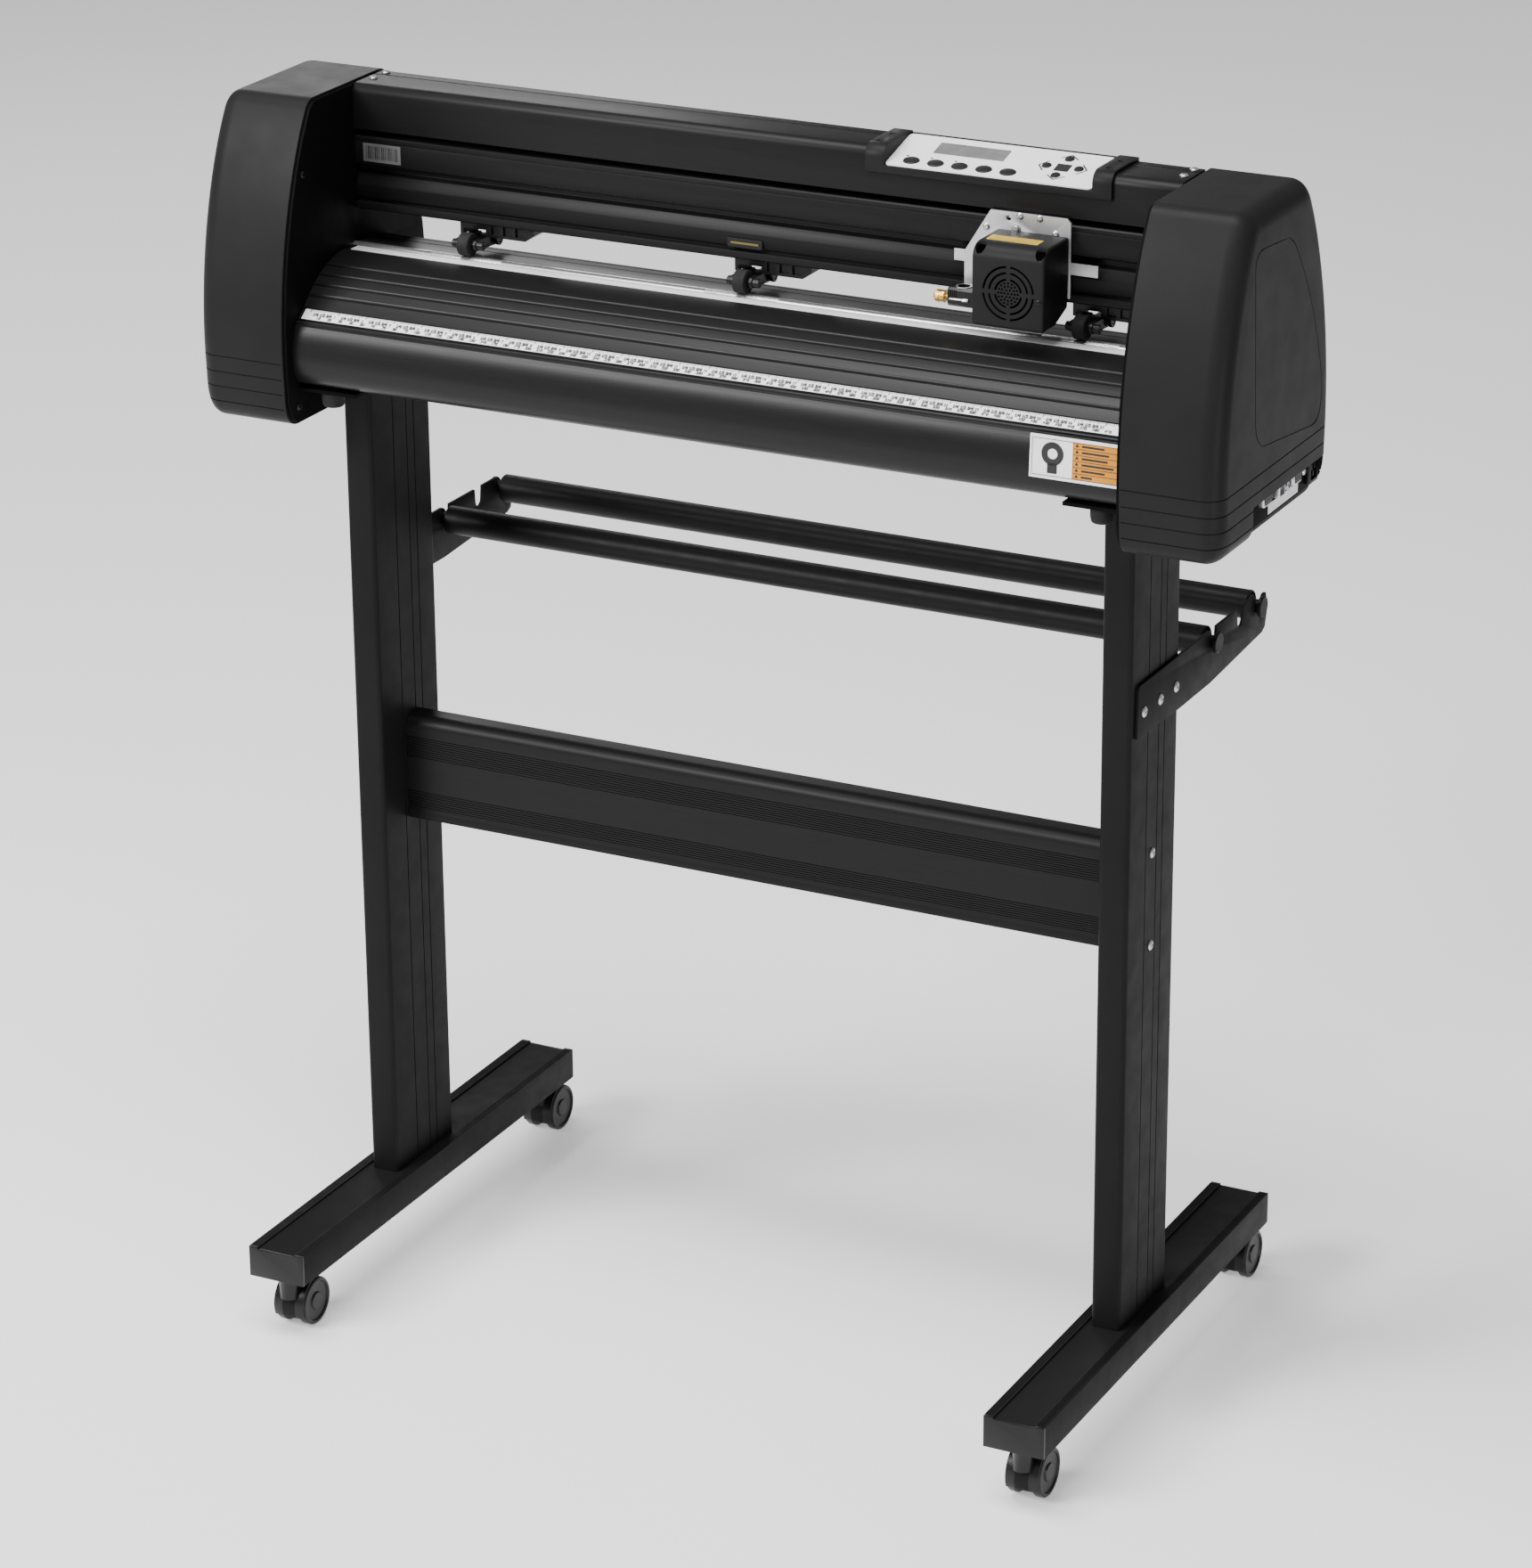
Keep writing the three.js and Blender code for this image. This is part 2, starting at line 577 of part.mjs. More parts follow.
function toolClamp() {
  const { x, y, screwZ, plungerX } = TOOL;
  const outline = polygon([[-24, 901], [-22, 899], [-10.5, 899], [-10.5, 913.7], [-22, 913.7], [-24, 911.7]]);
  const block = prism('x', outline, x - 11, x + 18);
  const arm = box(x + 17, plungerX + 4, -21, -13, 902, 909);
  const plunger = rod('z', 3, 908, 940, plungerX, y, 16);
  const bore = rod('z', 5.1, 890, 915, x, y, 24);
  return cut(join(block, arm, plunger), bore, rod('x', 2.3, x - 12, x, y, screwZ, 12));
}

function clampScrew() {
  const { x, y, screwZ } = TOOL;
  return join(rod('x', 4.8, x - 25, x - 15, y, screwZ, 20), rod('x', 2, x - 16, x - 5.2, y, screwZ, 12));
}

// ---------------------------------------------------------------- pinch units
// The bracket hangs from the slot under the rail by a tongue. Its two ears hold the arm's pivot.
function pinchBracket(x) {
  const bottom = 893;
  const top = RAIL.bottom - 0.4;
  const outline = polygon([
    [bottom, x - 13], [top, x - 13], [top, x + 54], [bottom + 5, x + 54], [bottom, x + 46],
  ]);
  const ears = [[-13, -10.3], [10.3, 13]].map(([a, b]) => box(x + a, x + b, 24, 36, 882, bottom + 1));
  const { y, neck, half, floor, roof } = T_SLOT;
  const slack = 0.4;
  const room = box(x - 10.2, x + 10.2, 11, 36, bottom - 1, 898.5);
  const holes = rod('x', ARM_PIVOT.r + GAP, x - 14, x + 14, ARM_PIVOT.y, ARM_PIVOT.z, 16);
  return cut(join(
    prism('y', outline, 12, 46),
    ...ears,
    box(x - 10, x + 50, y - neck + slack, y + neck - slack, top - 1, floor + 1),
    box(x - 10, x + 50, y - half + slack, y + half - slack, floor + slack, roof - slack),
  ), room, holes);
}

// The arm is a fork at the front and a release lever at the back.
function pinchArm(x) {
  const side = new THREE.Shape();
  side.absarc(SHAFT_Y, PINCH_Z, 4.4, Math.PI / 2, 1.5 * Math.PI, false);
  side.absarc(ARM_PIVOT.y, ARM_PIVOT.z, 4.6, -Math.PI / 2, Math.PI / 2, false);
  const axle = (from, to, r) => rod('x', r, x + from, x + to, SHAFT_Y, PINCH_Z, 14);
  return join(
    prism('x', side, x - 9.7, x - 5.4),
    prism('x', side, x + 5.4, x + 9.7),
    box(x - 9.7, x + 9.7, 14, 31, 884.5, 890.5),
    axle(-13, -9, 3.4),
    axle(9, 15.5, 3.4),
    axle(-7, 7, 1.6),
    rod('x', ARM_PIVOT.r, x - 12.7, x + 12.7, ARM_PIVOT.y, ARM_PIVOT.z, 16),
    box(x - 6, x + 6, 30, 64, 884.5, 888.5),
  );
}

function pinchRoller(x) {
  const bore = rod('x', 1.9, x - 6, x + 6, SHAFT_Y, PINCH_Z, 14);
  return cut(rod('x', PINCH_R, x - 5, x + 5, SHAFT_Y, PINCH_Z, 28), bore);
}

// ---------------------------------------------------------------- console
const TILT = Math.atan2(CONSOLE.backZ - CONSOLE.frontZ, CONSOLE.depth);

// The overlay's own plane: u runs along X, v up the slope, n out of the panel. Its middle is the origin.
const panelFrame = new THREE.Matrix4()
  .makeRotationX(TILT)
  .setPosition((CONSOLE.left + CONSOLE.right) / 2, CONSOLE.depth / 2, (CONSOLE.frontZ + CONSOLE.backZ) / 2);

// The space above a line that runs parallel to the overlay, at height n over it, seen from the side.
function consoleSection(n, rearward, height) {
  const rise = (y) => CONSOLE.frontZ + y * Math.tan(TILT) + n;
  const y0 = -4;
  const y1 = CONSOLE.depth + rearward;
  return polygon([[y0, rise(y0)], [y1, rise(y1)], [y1, rise(y1) + height], [y0, rise(y1) + height]]);
}

// The top beam's outline above the console's front lip, drawn outwards by a distance.
function wingOutline(out) {
  const r = 8 + out;
  const front = BEAM.front - out;
  const top = BEAM.top + out;
  const outline = new THREE.Shape();
  outline.moveTo(front, CONSOLE.lip);
  outline.lineTo(BEAM.back + out, CONSOLE.lip);
  outline.lineTo(BEAM.back + out, top);
  outline.absarc(front + r, top - r, r, Math.PI / 2, Math.PI, false);
  return outline;
}

// Two wings over the beam with a sloping tray between them. The overlay lies in the tray.
function consoleBezel() {
  const { left, right, wing, lip } = CONSOLE;
  const skin = 2.5;
  const saddle = cut(
    prism('x', wingOutline(skin), left - wing, right + wing),
    prism('x', wingOutline(GAP), left - wing - 1, right + wing + 1),
    box(left - wing - 1, right + wing + 1, 0, 60, lip - 1, lip + 0.01),
  );
  const tray = common(
    prism('x', wingOutline(skin), left - 2.8, right + 2.8),
    prism('x', consoleSection(OVERLAY.trayBottom, 10, 30), left - 2.8, right + 2.8),
  );
  return cut(join(saddle, tray), prism('x', consoleSection(OVERLAY.trayTop, 30, 30), left, right));
}

const OVALS = [-67, -46.9, -26.9, -6.7, 13.2]
  .map((u, k) => ({ name: `function_key_${k + 1}`, u, v: -15.1, ru: 6.5, rv: 5 }));
const ARROWS = [['up', 51.5, 14.3], ['left', 38.1, 1.5], ['right', 64.5, 1.6], ['down', 50.6, -10.9]]
  .map(([way, u, v]) => ({ name: `${way}_key`, u, v, ru: 3.6, rv: 3.6 }));
const KEYS = [...OVALS, ...ARROWS];

const keyOutline = ({ u, v, ru, rv }, grow) =>
  new THREE.Shape().absellipse(u, v, ru + grow, rv + grow, 0, 2 * Math.PI, false, 0);

function overlay() {
  const halfU = (CONSOLE.right - CONSOLE.left) / 2 - 0.4;
  const halfV = 24.4;
  const sheet = prism('z', roundedRect(-halfU, halfU, -halfV, halfV, 4), -OVERLAY.thick, 0, 4);
  const holes = KEYS.map((key) => prism('z', keyOutline(key, GAP), -OVERLAY.thick - 1, 1, 9));
  return cut(sheet, ...holes).applyMatrix4(panelFrame);
}

const keyCap = (key) => prism('z', keyOutline(key, 0), ...KEY_HEIGHTS, 9).applyMatrix4(panelFrame);

// ---------------------------------------------------------------- electronics
function controlBoard() {
  const posts = [[-52, 788], [52, 788], [-52, 872], [52, 872]].map(([y, z]) =>
    rod('x', 3, INNER_HALF, 405, y, z, 12));
  return join(box(404, 405.6, -60, 60, 780, 880), ...posts);
}

function powerSupply() {
  return join(box(-425, -390, -55, 55, 760, 822), box(-391, -INNER_HALF, -50, 50, 764, 766));
}

// ---------------------------------------------------------------- assembly
for (const [side, sign] of [['left', -1], ['right', 1]]) {
  add(`${side}_foot_beam`, footBeam(sign * POST_X), 'coat');
  add(`${side}_post`, post(sign * POST_X), 'coat');
  add(`${side}_roll_bracket`, sign > 0 ? rollBracket() : mirrored(rollBracket()), 'coat');
  CASTER_YS.forEach((y, k) => {
    const where = `${['front', 'rear'][k]}_${side}`;
    add(`${where}_caster_fork`, casterFork(sign * POST_X, y), 'darkPlastic');
    add(`${where}_caster_wheels`, casterWheels(sign * POST_X, y), 'darkPlastic');
  });
}
add('stretcher_panel', stretcher(), 'anodised');
for (const [name, y] of Object.entries(MEDIA_ROLLER_YS)) add(name, mediaRoller(y), 'rubber');

add('left_end_cover', mirrored(endCover()), 'plastic');
add('right_end_cover', coverWithPorts(), 'plastic');
add('left_side_plate', mirrored(sidePlate([idlerEar()])), 'coat');
add('right_side_plate', sidePlate([]), 'coat');
add('port_panel', portPanel(), 'coat');
add('control_board', controlBoard(), 'board');
add('power_supply', powerSupply(), 'plate');

add('platen', platen(), 'anodised');
add('grit_shaft', gritShaft(), 'steel');
add('grit_motor', gritMotor(), 'coat');
add('grit_motor_pinion', gritPinion(), 'steel');
add('top_beam', topBeam(), 'anodised');
add('rail_beam', railBeam(), 'anodised');
add('carriage_motor', carriageMotor(), 'coat');
add('belt_drive_pulley', drivePulley(), 'plate');
add('belt_idler_pulley', idlerPulley(), 'plate');
add('carriage_belt', belt(), 'rubber');

add('carriage_plate', carriagePlate(), 'plate');
add('head_cover', headCover(), 'plastic');
add('lift_solenoid', liftSolenoid(), 'plate');
add('tool_clamp', toolClamp(), 'darkPlastic');
add('clamp_screw', clampScrew(), 'brass');

PINCH_XS.forEach((x, k) => {
  const where = ['left', 'middle', 'right'][k];
  add(`${where}_pinch_bracket`, pinchBracket(x), 'darkPlastic');
  add(`${where}_pinch_arm`, pinchArm(x), 'darkPlastic');
  add(`${where}_pinch_roller`, pinchRoller(x), 'rubber');
});

add('console_bezel', consoleBezel(), 'plastic');
add('membrane_overlay', overlay(), 'panel');
for (const key of KEYS) add(key.name, keyCap(key), 'darkPlastic');

// The box runs from the front ends of the foot beams to the backs of the rear wheels.
const boxFront = FOOT.front;
const boxBack = CASTER_YS[1] + CASTER_TRAIL + WHEEL_R;
object.position.y = -(boxFront + boxBack) / 2;

export default object;
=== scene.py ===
import math

import bpy
from mathutils import Matrix, Vector


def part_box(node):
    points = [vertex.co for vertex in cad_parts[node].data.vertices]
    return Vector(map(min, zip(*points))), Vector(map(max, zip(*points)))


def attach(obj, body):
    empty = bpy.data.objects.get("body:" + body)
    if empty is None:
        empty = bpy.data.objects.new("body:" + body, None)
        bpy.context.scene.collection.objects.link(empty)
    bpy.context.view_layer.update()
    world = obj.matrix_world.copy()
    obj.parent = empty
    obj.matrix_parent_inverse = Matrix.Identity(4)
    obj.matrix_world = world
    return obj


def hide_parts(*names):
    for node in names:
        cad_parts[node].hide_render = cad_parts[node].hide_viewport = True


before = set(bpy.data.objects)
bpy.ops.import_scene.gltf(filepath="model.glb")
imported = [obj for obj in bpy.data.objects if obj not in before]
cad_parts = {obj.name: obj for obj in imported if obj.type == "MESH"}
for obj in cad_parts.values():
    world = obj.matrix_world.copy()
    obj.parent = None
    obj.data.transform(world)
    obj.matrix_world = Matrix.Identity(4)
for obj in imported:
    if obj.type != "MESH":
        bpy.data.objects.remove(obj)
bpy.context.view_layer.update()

# A vinyl cutter on its stand. Every piece is drawn in millimetres, with y measured from the middle of the
# posts, x from the middle of the machine and z from the floor. settle() then moves it into the frame.
MM = 0.001
POST_LOW, POST_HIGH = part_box("left_post")
MIDDLE_Y = (POST_LOW.y + POST_HIGH.y) / 2


def node_box(node):
    """The CAD node's lowest and highest corner, in the drawing's millimetres."""
    shift = Vector((0, MIDDLE_Y, 0))
    low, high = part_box(node)
    return (low - shift) / MM, (high - shift) / MM


# ------------ camera
def camera():
    azimuth, elevation, roll = (math.radians(a) for a in (26.89, 21.48, -0.40))
    target = Vector((20.75, 9.22, 476.9))
    distance = 4269.6
    back = Vector((
        math.sin(azimuth) * math.cos(elevation),
        -math.cos(azimuth) * math.cos(elevation),
        math.sin(elevation),
    ))
    level = Vector((math.cos(azimuth), math.sin(azimuth), 0))
    upward = back.cross(level)
    right = level * math.cos(roll) + upward * math.sin(roll)
    up = upward * math.cos(roll) - level * math.sin(roll)
    place = (target + back * distance) * MM + Vector((0, MIDDLE_Y, 0))
    turn = Matrix((right, up, back)).transposed().to_4x4()
    bpy.ops.object.camera_add()
    cam = bpy.context.object
    cam.name = "camera"
    cam.matrix_world = Matrix.Translation(place) @ turn
    cam.data.lens = 122.1
    cam.data.shift_x = -0.0112
    cam.data.shift_y = -0.0042
    cam.data.clip_end = 50
    bpy.context.scene.camera = cam


def area_light(name, place, target, size, power):
    bpy.ops.object.light_add(type="AREA", location=place)
    light = bpy.context.object
    light.name = name
    light.data.shape = "RECTANGLE"
    light.data.size, light.data.size_y = size
    light.data.energy = power
    light.rotation_euler = (Vector(target) - Vector(place)).to_track_quat("-Z", "Y").to_euler()


def lights():
    world = bpy.data.worlds.new("studio")
    bpy.context.scene.world = world
    world.use_nodes = True
    world.node_tree.nodes["Background"].inputs["Color"].default_value = (1, 1, 1, 1)
    world.node_tree.nodes["Background"].inputs["Strength"].default_value = 0.25
    area_light("key_light", (-1.9, -2.9, 2.7), (-0.1, 0, 0.9), (1.6, 1.3), 170)
    area_light("top_light", (-0.2, -0.8, 3.3), (0, 0, 0.8), (2.4, 1.2), 120)
    area_light("edge_light", (2.4, -1.25, 0.35), (0.44, -0.1, 0.9), (0.2, 1.0), 16)
    area_light("back_light", (-2.5, 3.2, 2.2), (-0.4, 0, 0.8), (1.6, 1.0), 20)


def floor():
    bpy.ops.mesh.primitive_plane_add(size=30, location=(0, 0, -0.0005))
    ground = bpy.context.object
    ground.name = "studio_floor"
    paper = bpy.data.materials.new("studio_paper")
    paper.use_nodes = True
    shader = paper.node_tree.nodes["Principled BSDF"]
    shader.inputs["Base Color"].default_value = (0.93, 0.93, 0.93, 1)
    shader.inputs["Roughness"].default_value = 0.9
    shader.inputs["Emission Color"].default_value = (1, 1, 1, 1)
    shader.inputs["Emission Strength"].default_value = 0.4
    ground.data.materials.append(paper)


# ------------ finishes
def new_finish(name, roughness, metallic=0.0, specular=0.5):
    finish = bpy.data.materials.new(name)
    finish.use_nodes = True
    shader = finish.node_tree.nodes["Principled BSDF"]
    for socket, value in (("Roughness", roughness), ("Metallic", metallic), ("Specular IOR Level", specular)):
        shader.inputs[socket].default_value = value
    return finish


def pattern(finish, scale, stretch=(1, 1, 1), detail=4.0, kind="ShaderNodeTexNoise"):
    """A noise or cell pattern over the piece's own coordinates. Its socket runs from 0 to 1."""
    nodes, links = finish.node_tree.nodes, finish.node_tree.links
    where = nodes.new("ShaderNodeTexCoord")
    mapping = nodes.new("ShaderNodeMapping")
    mapping.inputs["Scale"].default_value = stretch
    texture = nodes.new(kind)
    texture.inputs["Scale"].default_value = scale
    if kind == "ShaderNodeTexNoise":
        texture.inputs["Detail"].default_value = detail
    links.new(where.outputs["Object"], mapping.inputs["Vector"])
    links.new(mapping.outputs["Vector"], texture.inputs["Vector"])
    return texture.outputs[0]


def spread(finish, source, low, high, socket):
    """Maps a pattern to a range on one of the shader's sockets."""
    nodes, links = finish.node_tree.nodes, finish.node_tree.links
    ramp = nodes.new("ShaderNodeMapRange")
    for end, value in (("From Min", 0.3), ("From Max", 0.7), ("To Min", low), ("To Max", high)):
        ramp.inputs[end].default_value = value
    links.new(source, ramp.inputs["Value"])
    links.new(ramp.outputs["Result"], nodes["Principled BSDF"].inputs[socket])


def tint(finish, source, dark, light):
    nodes, links = finish.node_tree.nodes, finish.node_tree.links
    ramp = nodes.new("ShaderNodeValToRGB")
    for stop, position, colour in zip(ramp.color_ramp.elements, (0.3, 0.7), (dark, light)):
        stop.position = position
        stop.color = (*colour, 1)
    links.new(source, ramp.inputs["Fac"])
    links.new(ramp.outputs["Color"], nodes["Principled BSDF"].inputs["Base Color"])


def relief(finish, source, strength, depth_mm):
    nodes, links = finish.node_tree.nodes, finish.node_tree.links
    bump = nodes.new("ShaderNodeBump")
    bump.inputs["Strength"].default_value = strength
    bump.inputs["Distance"].default_value = depth_mm * MM
    links.new(source, bump.inputs["Height"])
    links.new(bump.outputs["Normal"], nodes["Principled BSDF"].inputs["Normal"])


def grey(value):
    return (value, value, value * 1.03)


def powder_coat(name, value, roughness=0.42, specular=0.22):
    """Satin paint baked on steel: fine pebbling, with slightly uneven gloss."""
    finish = new_finish(name, roughness, specular=specular)
    broad = pattern(finish, 9)
    tint(finish, broad, grey(value * 0.88), grey(value * 1.14))
    spread(finish, pattern(finish, 60), roughness - 0.04, roughness + 0.05, "Roughness")
    relief(finish, pattern(finish, 900, detail=2), 0.3, 0.1)
    return finish


def moulded(name, value, roughness=0.45, scale=1400, specular=0.28):
    """Injection-moulded plastic with a spark-eroded grain."""
    finish = new_finish(name, roughness, specular=specular)
    tint(finish, pattern(finish, 14), grey(value * 0.9), grey(value * 1.12))
    spread(finish, pattern(finish, 45), roughness - 0.03, roughness + 0.04, "Roughness")
    relief(finish, pattern(finish, scale, kind="ShaderNodeTexVoronoi"), 0.3, 0.08)
    return finish


def drawn_metal(name, dark, light, roughness, along="X", metallic=0.9, specular=0.3):
    """Metal with fine lines from extrusion or brushing, which run along one axis."""
    finish = new_finish(name, roughness, metallic, specular)
    stretch = {"X": (0.01, 1, 1), "Y": (1, 0.01, 1), "Z": (1, 1, 0.01)}[along]
    lines = pattern(finish, 2400, stretch, 2)
    tint(finish, lines, dark, light)
    spread(finish, pattern(finish, 900, stretch), roughness - 0.02, roughness + 0.03, "Roughness")
    relief(finish, lines, 0.08, 0.02)
    return finish


def knurled(name, dark, light, roughness, scale, metallic=0.9):
    """Metal with a regular raised grain."""
    finish = new_finish(name, roughness, metallic)
    cells = pattern(finish, scale, kind="ShaderNodeTexVoronoi")
    tint(finish, cells, dark, light)
    relief(finish, cells, 0.8, 0.25)
    return finish


def rubber(name, value):
    finish = new_finish(name, 0.75, specular=0.3)
    tint(finish, pattern(finish, 40), grey(value * 0.8), grey(value * 1.3))
    spread(finish, pattern(finish, 120), 0.66, 0.85, "Roughness")
    relief(finish, pattern(finish, 700), 0.5, 0.15)
    return finish


def printed(name, dark, light, roughness=0.4):
    """A printed film: nearly even colour under a faint fibre."""
    finish = new_finish(name, roughness)
    tint(finish, pattern(finish, 90), dark, light)
    spread(finish, pattern(finish, 200), roughness - 0.05, roughness + 0.06, "Roughness")
    relief(finish, pattern(finish, 1500, detail=1), 0.1, 0.03)
    return finish


FINISH = {
    "stand": powder_coat("black_powder_coat", 0.009, 0.5, 0.07),
    "panel": drawn_metal("black_anodised_panel", grey(0.007), grey(0.010), 0.42, metallic=0.2, specular=0.16),
    "platen": drawn_metal("black_anodised_platen", grey(0.009), grey(0.012),
                          0.34, metallic=0.3, specular=0.2),
    "cover": moulded("satin_black_cover", 0.013, 0.42, specular=0.07),
    # The side finish is the black powder coat made far darker than the stand's: painted shade for the side
    # plates, the port panel and the head fan, which sit in shadow.
    "side": powder_coat("flat_black_side", 0.002, 0.6, 0.05),
    "dark": moulded("dark_moulded_plastic", 0.005, 0.35, 900),
    "wheel": moulded("caster_plastic", 0.006, 0.34, 700),
    "tube": powder_coat("roller_coat", 0.006, 0.45, 0.14),
    "steel": drawn_metal("bright_steel", grey(0.5), grey(0.7), 0.25, specular=0.5),
    "grit": knurled("grit_band", grey(0.3), grey(0.8), 0.35, 1300),
    "zinc": drawn_metal("zinc_screw", grey(0.45), grey(0.75), 0.28, "Z", specular=0.5),
    "aluminium": drawn_metal("clear_aluminium", grey(0.52), grey(0.6), 0.38, "Z", 0.6, 0.5),
    "motor": powder_coat("motor_black", 0.015, 0.35, 0.4),
    "brass": knurled("knurled_brass", (0.5, 0.28, 0.05), (0.9, 0.6, 0.18), 0.25, 1100),
    "rubber": rubber("black_rubber", 0.008),
    "overlay": printed("overlay_film", grey(0.78), grey(0.84), 0.42),
    "window": printed("display_window", grey(0.13), grey(0.17), 0.2),
    "key": moulded("key_plastic", 0.012, 0.35, 1500),
    "ink": printed("black_ink", grey(0.006), grey(0.012), 0.5),
    "white": printed("white_print", grey(0.8), grey(0.87), 0.45),
    "orange": printed("orange_print", (0.55, 0.20, 0.0), (0.62, 0.24, 0.001), 0.45),
    "yellow": printed("yellow_print", (0.5, 0.32, 0.004), (0.62, 0.4, 0.008), 0.45),
    "strip": printed("cutting_strip", grey(0.6), grey(0.7), 0.35),
    "label": printed("grey_label", grey(0.07), grey(0.09), 0.45),
    "gold": printed("gold_print", (0.12, 0.085, 0.012), (0.16, 0.11, 0.02), 0.45),
    "board": printed("green_board", (0.01, 0.09, 0.04), (0.02, 0.14, 0.06), 0.35),
}


# ------------ shaping
def only(*things):
    bpy.ops.object.select_all(action="DESELECT")
    for thing in things:
        thing.select_set(True)
    bpy.context.view_layer.objects.active = things[0]


def mode(name):
    bpy.ops.object.mode_set(mode=name)


def extrude(step):
    bpy.ops.mesh.extrude_region_move(TRANSFORM_OT_translate={"value": step})


def face_outward():
    """Turns every face of the mesh in edit mode outward, and leaves edit mode."""
    bpy.ops.mesh.select_all(action="SELECT")
    bpy.ops.mesh.normals_make_consistent(inside=False)
    mode("OBJECT")


def place(thing):
    """Puts the object's own turn, size and place into its mesh."""
    only(thing)
    bpy.ops.object.transform_apply(location=True, rotation=True, scale=True)
    return thing


def fresh(name):
    """The object that an operator has just made, with its name."""
    thing = bpy.context.object
    thing.name = thing.data.name = name
    return thing


def draw(name, points, closed=True):
    """Draws an outline by extruding one vertex from point to point. Edit mode stays on."""
    bpy.ops.object.select_all(action="DESELECT")
    bpy.ops.mesh.primitive_plane_add(size=1)
    thing = fresh(name)
    mode("EDIT")
    bpy.ops.mesh.select_mode(type="VERT")
    bpy.ops.mesh.merge(type="CENTER")
    bpy.ops.transform.translate(value=points[0])
    for here, there in zip(points, points[1:]):
        extrude(Vector(there) - Vector(here))
    if closed:
        bpy.ops.mesh.select_all(action="SELECT")
        bpy.ops.mesh.edge_face_add()
    return thing


ORDER = {
    "X": lambda a, b, t: (t, a, b),
    "Y": lambda a, b, t: (a, t, b),
    "Z": lambda a, b, t: (a, b, t),
}


def bar(name, axis, outline, start, end):
    """A length of section: the outline is drawn across an axis and extruded along it."""
    order = ORDER[axis]
    thing = draw(name, [order(a, b, start) for a, b in outline])
    extrude(order(0, 0, end - start))
    face_outward()
    return thing


def modify(thing, kind, **settings):
    """Adds a modifier, sets it up, and applies it."""
    only(thing)
    bpy.ops.object.modifier_add(type=kind)
    modifier = thing.modifiers[-1]
    for setting, value in settings.items():
        setattr(modifier, setting, value)
    bpy.ops.object.modifier_apply(modifier=modifier.name)
    return thing


def soften(thing, width, segments=2, angle=30):
    """Rounds every edge sharper than the angle."""
    return modify(thing, "BEVEL", width=width, segments=segments, limit_method="ANGLE",
                  angle_limit=math.radians(angle))


def block(name, low, high, edge=0.4, segments=2):
    low, high = Vector(low), Vector(high)
    bpy.ops.object.select_all(action="DESELECT")
    bpy.ops.mesh.primitive_cube_add(size=1, location=(low + high) / 2, scale=high - low)
    thing = place(fresh(name))
    return soften(thing, edge, segments) if edge else thing


def rod(name, axis, radius, start, end, a, b, sides=40, edge=0.0):
    order = ORDER[axis]
    turn = {"X": (0, math.pi / 2, 0), "Y": (math.pi / 2, 0, 0), "Z": (0, 0, 0)}[axis]
    bpy.ops.object.select_all(action="DESELECT")
    bpy.ops.mesh.primitive_cylinder_add(
        vertices=sides, radius=radius, depth=end - start,
        location=order(a, b, (start + end) / 2), rotation=turn,
    )
    thing = place(fresh(name))
    return soften(thing, edge, 2, 50) if edge else thing


def turned(name, axis, profile, a, b, steps=48):
    """A turned body. The profile holds (distance along the axis, radius)."""
    order = ORDER[axis]
    points = [order(a + r, b, t) for t, r in profile]
    thing = draw(name, points, closed=False)
    bpy.ops.mesh.select_all(action="SELECT")
    bpy.ops.mesh.spin(steps=steps, angle=2 * math.pi, center=order(a, b, 0), axis=order(0, 0, 1))
    bpy.ops.mesh.select_all(action="SELECT")
    bpy.ops.mesh.remove_doubles(threshold=0.002)
    face_outward()
    return thing


def combine(thing, tool, how="DIFFERENCE"):
    """Cuts the tool out of the piece, or merges it in, and deletes the tool."""
    modify(thing, "BOOLEAN", operation=how, solver="EXACT", object=tool)
    bpy.data.objects.remove(tool)
    return thing


def gather(name, things):
    """Joins several bodies into one piece."""
    only(*things)
    bpy.ops.object.join()
    return fresh(name)


def twin(thing, name, move=(0, 0, 0), mirror=False):
    """A copy with a mesh of its own, moved by a step or mirrored to the machine's other side."""
    only(thing)
    bpy.ops.object.duplicate()
    copy = fresh(name)
    copy.location = move
    if mirror:
        copy.scale.x = -1
    place(copy)
    if mirror:
        mode("EDIT")
        face_outward()
    return copy


def dress(thing, finish, body, replaces, smooth):
    """Shades a piece, gives it its finish, and fastens it to its body."""
    only(thing)
    bpy.ops.object.shade_smooth_by_angle(angle=math.radians(smooth))
    thing.data.materials.clear()
    thing.data.materials.append(FINISH[finish])
    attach(thing, body)
    if replaces:
        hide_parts(*replaces)


def settle(thing, finish, body="root", replaces=(), smooth=32):
    """Moves a finished piece from the drawing into the frame and dresses it."""
    thing.scale = (MM, MM, MM)
    thing.location = (0, MIDDLE_Y, 0)
    place(thing)
    dress(thing, finish, body, replaces, smooth)


def both_sides(thing, finish, node=True, smooth=32):
    """Settles a right-hand piece and its mirror image. With node, each replaces the CAD node of its name."""
    mirror = twin(thing, thing.name.replace("right", "left"), mirror=True)
    for piece in (mirror, thing):
        settle(piece, finish, "root", [piece.name.replace("-", "_")] if node else (), smooth)


